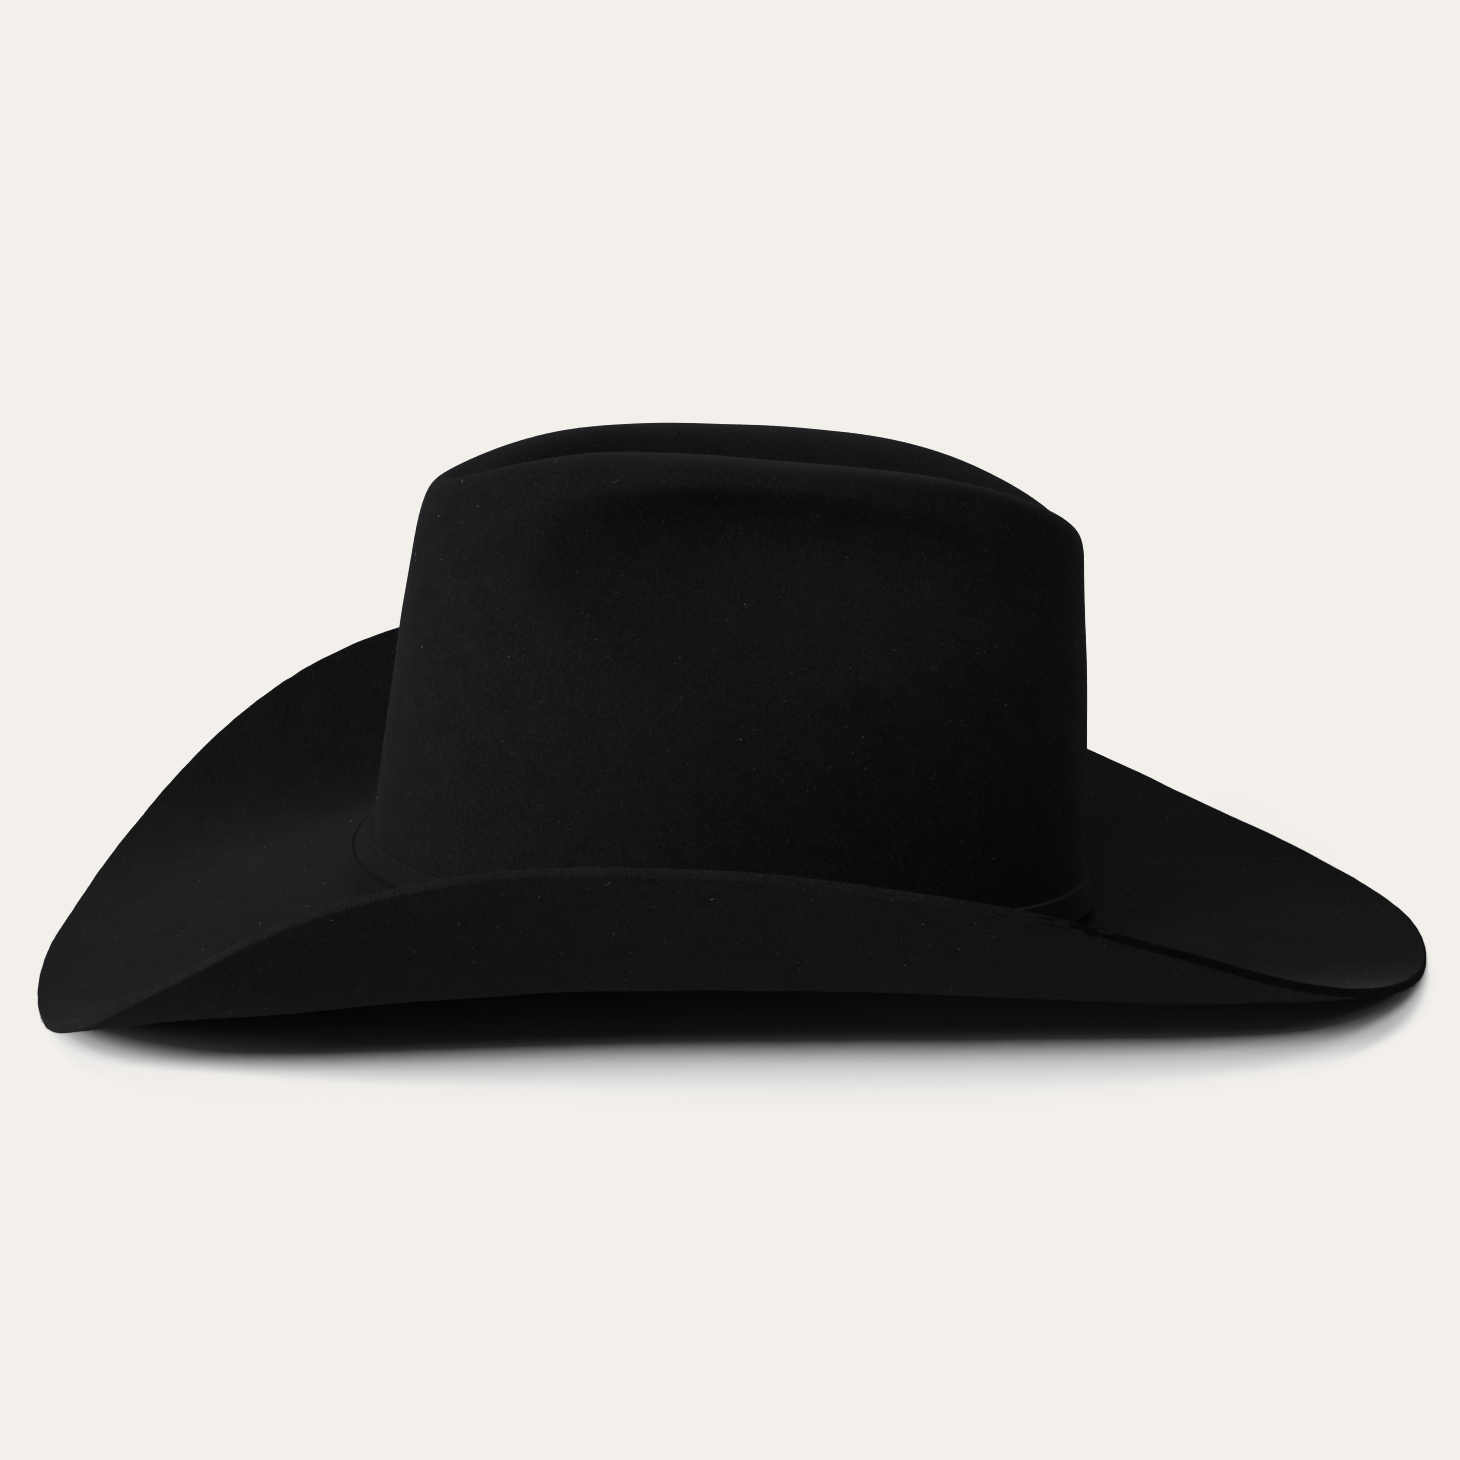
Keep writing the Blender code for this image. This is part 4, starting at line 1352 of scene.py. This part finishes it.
    def build_bow(self) -> None:
        """Two flat loops of ribbon and the knot between them."""
        start = self.trim_gap * 2.0 + self.tab_thick + self.bow_stand_off
        share = np.linspace(0.0, 1.0, self.bow_rows)
        waist = self.bow_waist / 2.0
        end = np.sqrt(np.clip(1.0 - (np.clip(share - 0.86, 0.0, None) / 0.141) ** 2, 0.0, None))
        swell = waist + (self.bow_height / 2.0 - waist) * np.sin(share * math.pi / 2.0) ** 0.9
        thick = self.bow_thick / 2.0 * (0.55 + 0.75 * np.sin(share * math.pi)) * 0.8
        half = (swell * np.maximum(end, 0.3), thick)
        bow = MeshPiece("sweatband_ribbon_bow")
        for way in (-1.0, 1.0):
            self.pillow(bow, share, half, way * self.bow_width / 2.0 * share, start + self.bow_thick / 2.0)
        settle(bow.build(RIBBON), Body.HAT, Slot.RIBBON, "sweatband_bow")
        share = np.linspace(0.0, 1.0, self.knot_rows)
        round_off = np.clip(1.0 - (2.0 * share - 1.0) ** 4, 0.05, None) ** 0.5
        half = (self.knot_height / 2.0 * (0.8 + 0.2 * round_off), self.knot_thick / 2.0 * round_off)
        depth = start + self.bow_thick + self.trim_gap + self.knot_thick / 2.0
        knot = MeshPiece("sweatband_ribbon_knot")
        self.pillow(knot, share, half, self.knot_width * (share - 0.5), depth)
        settle(knot.build(RIBBON), Body.HAT, Slot.RIBBON, "sweatband_bow_knot")


@dataclass
class Lining:
    """Satin wall and tip inside the crown, and the piping over their seam."""

    form: HatForm
    columns: int = 320
    satin: float = 0.0005
    inset: float = 0.0062
    foot: float = 0.034
    seam: float = 0.080
    seam_gap: float = 0.0004
    wall_rows: int = 26
    tip_rows: int = 70
    folds: int = 44
    wall_fold: float = 0.0007
    tip_fold: float = 0.0006
    tip_sag: float = 0.0002
    piping_radius: float = 0.0008
    piping_gap: float = 0.0004
    piping_sides: int = 12
    piping_twist: float = 0.10
    piping_strands: float = 3.0
    piping_turns: float = 150.0

    def shell(self, rings: Points, fold: Values) -> Points:
        """Both faces of the cloth, gathered into soft folds.

        Args:
            rings: rings of its inner face.
            fold: how far each point moves inward.

        Returns:
            Rings from the end of the outer face round to the end of the inner face.
        """
        normals = grid_normals(rings)
        inner = rings - normals * fold[..., None]
        return np.concatenate([(inner + normals * self.satin)[::-1], inner])

    def build(self) -> None:
        """Make the lining."""
        angle = turns(self.columns)
        form = self.form
        foot, seam = float(form.step_at(self.foot)), float(form.step_at(self.seam))
        gap = float(form.step_at(self.seam + self.seam_gap)) - seam
        gather = 0.5 + 0.5 * np.cos(angle * self.folds + 2.0 * np.sin(angle * 3.0))[None]
        rings = form.stand(form.crown(angle, np.linspace(foot, seam, self.wall_rows), self.inset))
        share = np.linspace(0.0, 1.0, self.wall_rows)[:, None]
        fold = self.wall_fold * gather * (0.35 + 0.65 * share ** 2)
        fold = fold * np.minimum(1.0, 6.0 * (1.0 - share) + 0.25)
        side = MeshPiece("lining_satin_wall")
        side.add_rings(self.shell(rings, fold), closed=True)
        side_piece = settle(side.build(SATIN), Body.HAT, Slot.SATIN, "lining_side")
        rings = form.stand(form.crown(angle, np.linspace(seam + gap, 1.0, self.tip_rows), self.inset))
        share = np.linspace(0.0, 1.0, self.tip_rows)[:, None]
        sag = self.tip_sag * (1.0 + ripple(rings, 0.03, 51)) * np.minimum(1.0, 8.0 * (1.0 - share))
        fold = self.tip_fold * gather * np.clip(1.0 - share * 3.0, 0.0, 1.0) + sag
        tip = MeshPiece("lining_satin_tip")
        tip.add_rings(self.shell(rings, fold), closed=False, pinched=True)
        tip_piece = settle(tip.build(SATIN), Body.HAT, Slot.SATIN, "lining_tip")
        self.build_piping(angle, np.full(self.columns, seam + gap / 2.0))

    def build_piping(self, angle: Values, step: Values) -> None:
        """Twisted cord over the seam of wall and tip.

        Args:
            angle: angles round the hat.
            step: step of the seam on the crown's curve, for each angle.
        """
        reach = self.inset + self.piping_gap + self.piping_radius
        middle = self.form.crown_at(angle, step, reach)
        ahead = unit(self.form.crown_at(angle, step, reach + 0.001) - middle)
        rings = []
        for turn in turns(self.piping_sides):
            twist = 1.0 + self.piping_twist * np.cos(self.piping_strands * turn - self.piping_turns * angle)
            size = self.piping_radius * 0.95 * twist
            ring = middle + ahead * (size * math.cos(turn))[:, None]
            ring[:, 2] += size * math.sin(turn)
            rings.append(self.form.stand(ring))
        cord = MeshPiece("lining_seam_piping")
        cord.add_rings(np.array(rings), closed=True)
        settle(cord.build(SATIN), Body.HAT, Slot.SATIN, "lining_piping")


@dataclass(frozen=True)
class Lamp:
    """Round soft lamp of the studio, with the half angles, in degrees, of its rim and its full middle."""

    aim: Place
    rim: float
    full: float
    power: float


@dataclass
class Studio:
    """Camera at the photo's angle, pale floor and soft light."""

    eye: Place = (0.7703, -0.0978, 0.2585)
    aim: Place = (0.0, -0.0032, 0.0643)
    lens: float = 67.07
    sensor: float = 36.0
    sight: float = 50.0
    floor_size: float = 12.0
    floor_drop: float = 0.0001
    floor_colour: Colour = (0.86, 0.85, 0.83)
    paper: Colour = (0.896, 0.863, 0.823)
    paper_glow: float = 2.0
    lamp_colour: Colour = (0.98, 0.99, 1.0)
    toe: float = 0.10
    toe_slope: float = 0.25
    shoulder: float = 0.97
    lamps: tuple[Lamp, ...] = (
        Lamp((0.06, -0.97, 0.22), 9.0, 7.0, 82.0),
        Lamp((0.45, -0.75, 0.49), 10.0, 7.5, 25.9),
        Lamp((0.73, -0.29, 0.62), 7.5, 6.0, 24.8),
        Lamp((0.71, 0.35, 0.61), 7.5, 6.0, 13.2),
        Lamp((0.57, -0.60, 0.56), 7.5, 6.0, 8.5),
        Lamp((0.50, 0.05, 0.86), 14.0, 3.0, 4.4),
        Lamp((0.18, -0.28, 0.94), 14.0, 3.0, 5.2),
        Lamp((0.20, 0.40, 0.90), 14.0, 3.0, 2.4),
        Lamp((0.45, -0.87, 0.15), 10.0, 3.0, 7.0),
        Lamp((-0.71, 0.12, 0.69), 30.0, 7.5, 4.3),
        Lamp((0.00, 0.00, 1.00), 170.0, 80.0, 0.05),
    )

    def build(self) -> None:
        """Set up the studio."""
        self.build_camera()
        self.build_floor()
        self.build_light()
        self.build_tone()

    def build_camera(self) -> None:
        """Camera where the photo was taken."""
        data = bpy.data.cameras.new("camera")
        data.lens = self.lens
        data.sensor_width = self.sensor
        data.clip_end = self.sight
        camera = bpy.data.objects.new("camera", data)
        camera.location = self.eye
        camera.rotation_euler = (Vector(self.aim) - Vector(self.eye)).to_track_quat("-Z", "Y").to_euler()
        bpy.context.scene.collection.objects.link(camera)
        bpy.context.scene.camera = camera

    def build_floor(self) -> None:
        """Wide pale floor."""
        size = self.floor_size
        corners = [(-size, -size, 0.0), (size, -size, 0.0), (size, size, 0.0), (-size, size, 0.0)]
        mesh = bpy.data.meshes.new("floor")
        mesh.from_pydata(corners, [], [(0, 1, 2, 3)])
        floor = bpy.data.objects.new("floor", mesh)
        floor.location.z = -self.floor_drop
        bpy.context.scene.collection.objects.link(floor)
        material = bpy.data.materials.new("pale_paper")
        material.use_nodes = True
        shader = material.node_tree.nodes["Principled BSDF"]
        shader.inputs["Base Color"].default_value = (*self.floor_colour, 1.0)
        shader.inputs["Roughness"].default_value = 1.0
        shader.inputs["Specular IOR Level"].default_value = 0.0
        mesh.materials.append(material)

    def build_light(self) -> None:
        """Soft round lamps in a dark dome, with the paper's colour for the eye."""
        world = bpy.data.worlds.new("studio")
        bpy.context.scene.world = world
        world.use_nodes = True
        world.node_tree.nodes.clear()
        bench = NodeBench(world.node_tree)
        way = bench.add("TexCoord").outputs["Generated"]
        glow: Socket | None = None
        for lamp in self.lamps:
            facing = bench.add("VectorMath", {"operation": "DOT_PRODUCT"}, i0=way,
                               i1=tuple(Vector(lamp.aim).normalized())).outputs["Value"]
            rim, full = math.cos(math.radians(lamp.rim)), math.cos(math.radians(lamp.full))
            light = bench.add("MapRange", {"interpolation_type": "SMOOTHSTEP"}, i0=facing, i1=rim, i2=full,
                              i3=0.0, i4=lamp.power).outputs[0]
            glow = light if glow is None else bench.sum(glow, light, 1.0)
        dome = bench.add("Background", None, Color=(*self.lamp_colour, 1.0), Strength=glow)
        seen = bench.add("Background", None, Color=(*self.paper, 1.0), Strength=self.paper_glow)
        path = bench.add("LightPath").outputs["Is Camera Ray"]
        mixed = bench.add("MixShader", None, i0=path, i1=dome.outputs[0], i2=seen.outputs[0])
        bench.add("OutputWorld", None, Surface=mixed.outputs[0])

    def build_tone(self) -> None:
        """Plain tone with deep shadows, which tops out at the paper's colour."""
        view = bpy.context.scene.view_settings
        view.view_transform = "Standard"
        view.look = "None"
        view.use_curve_mapping = True
        mapping = view.curve_mapping
        for curve, top in zip(mapping.curves, self.paper):
            curve.points[0].location = (0.0, 0.0)
            curve.points[-1].location = (1.0, top)
            shoulder = top * self.shoulder
            for place, tone in ((self.toe, self.toe * self.toe_slope), (shoulder, shoulder)):
                curve.points.new(place, tone).handle_type = "VECTOR"
            curve.points[0].handle_type = "VECTOR"
            curve.points[-1].handle_type = "VECTOR"
        mapping.extend = "HORIZONTAL"
        mapping.update()


def main() -> None:
    """Build the studio, then the hat piece by piece."""
    logging.basicConfig(level=logging.INFO, format="%(name)s: %(message)s")
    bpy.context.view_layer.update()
    form = HatForm()
    Studio().build()
    FeltBody(form).build()
    HatBand(form).build()
    Sweatband(form).build()
    Lining(form).build()


if __name__ == "__main__":
    main()
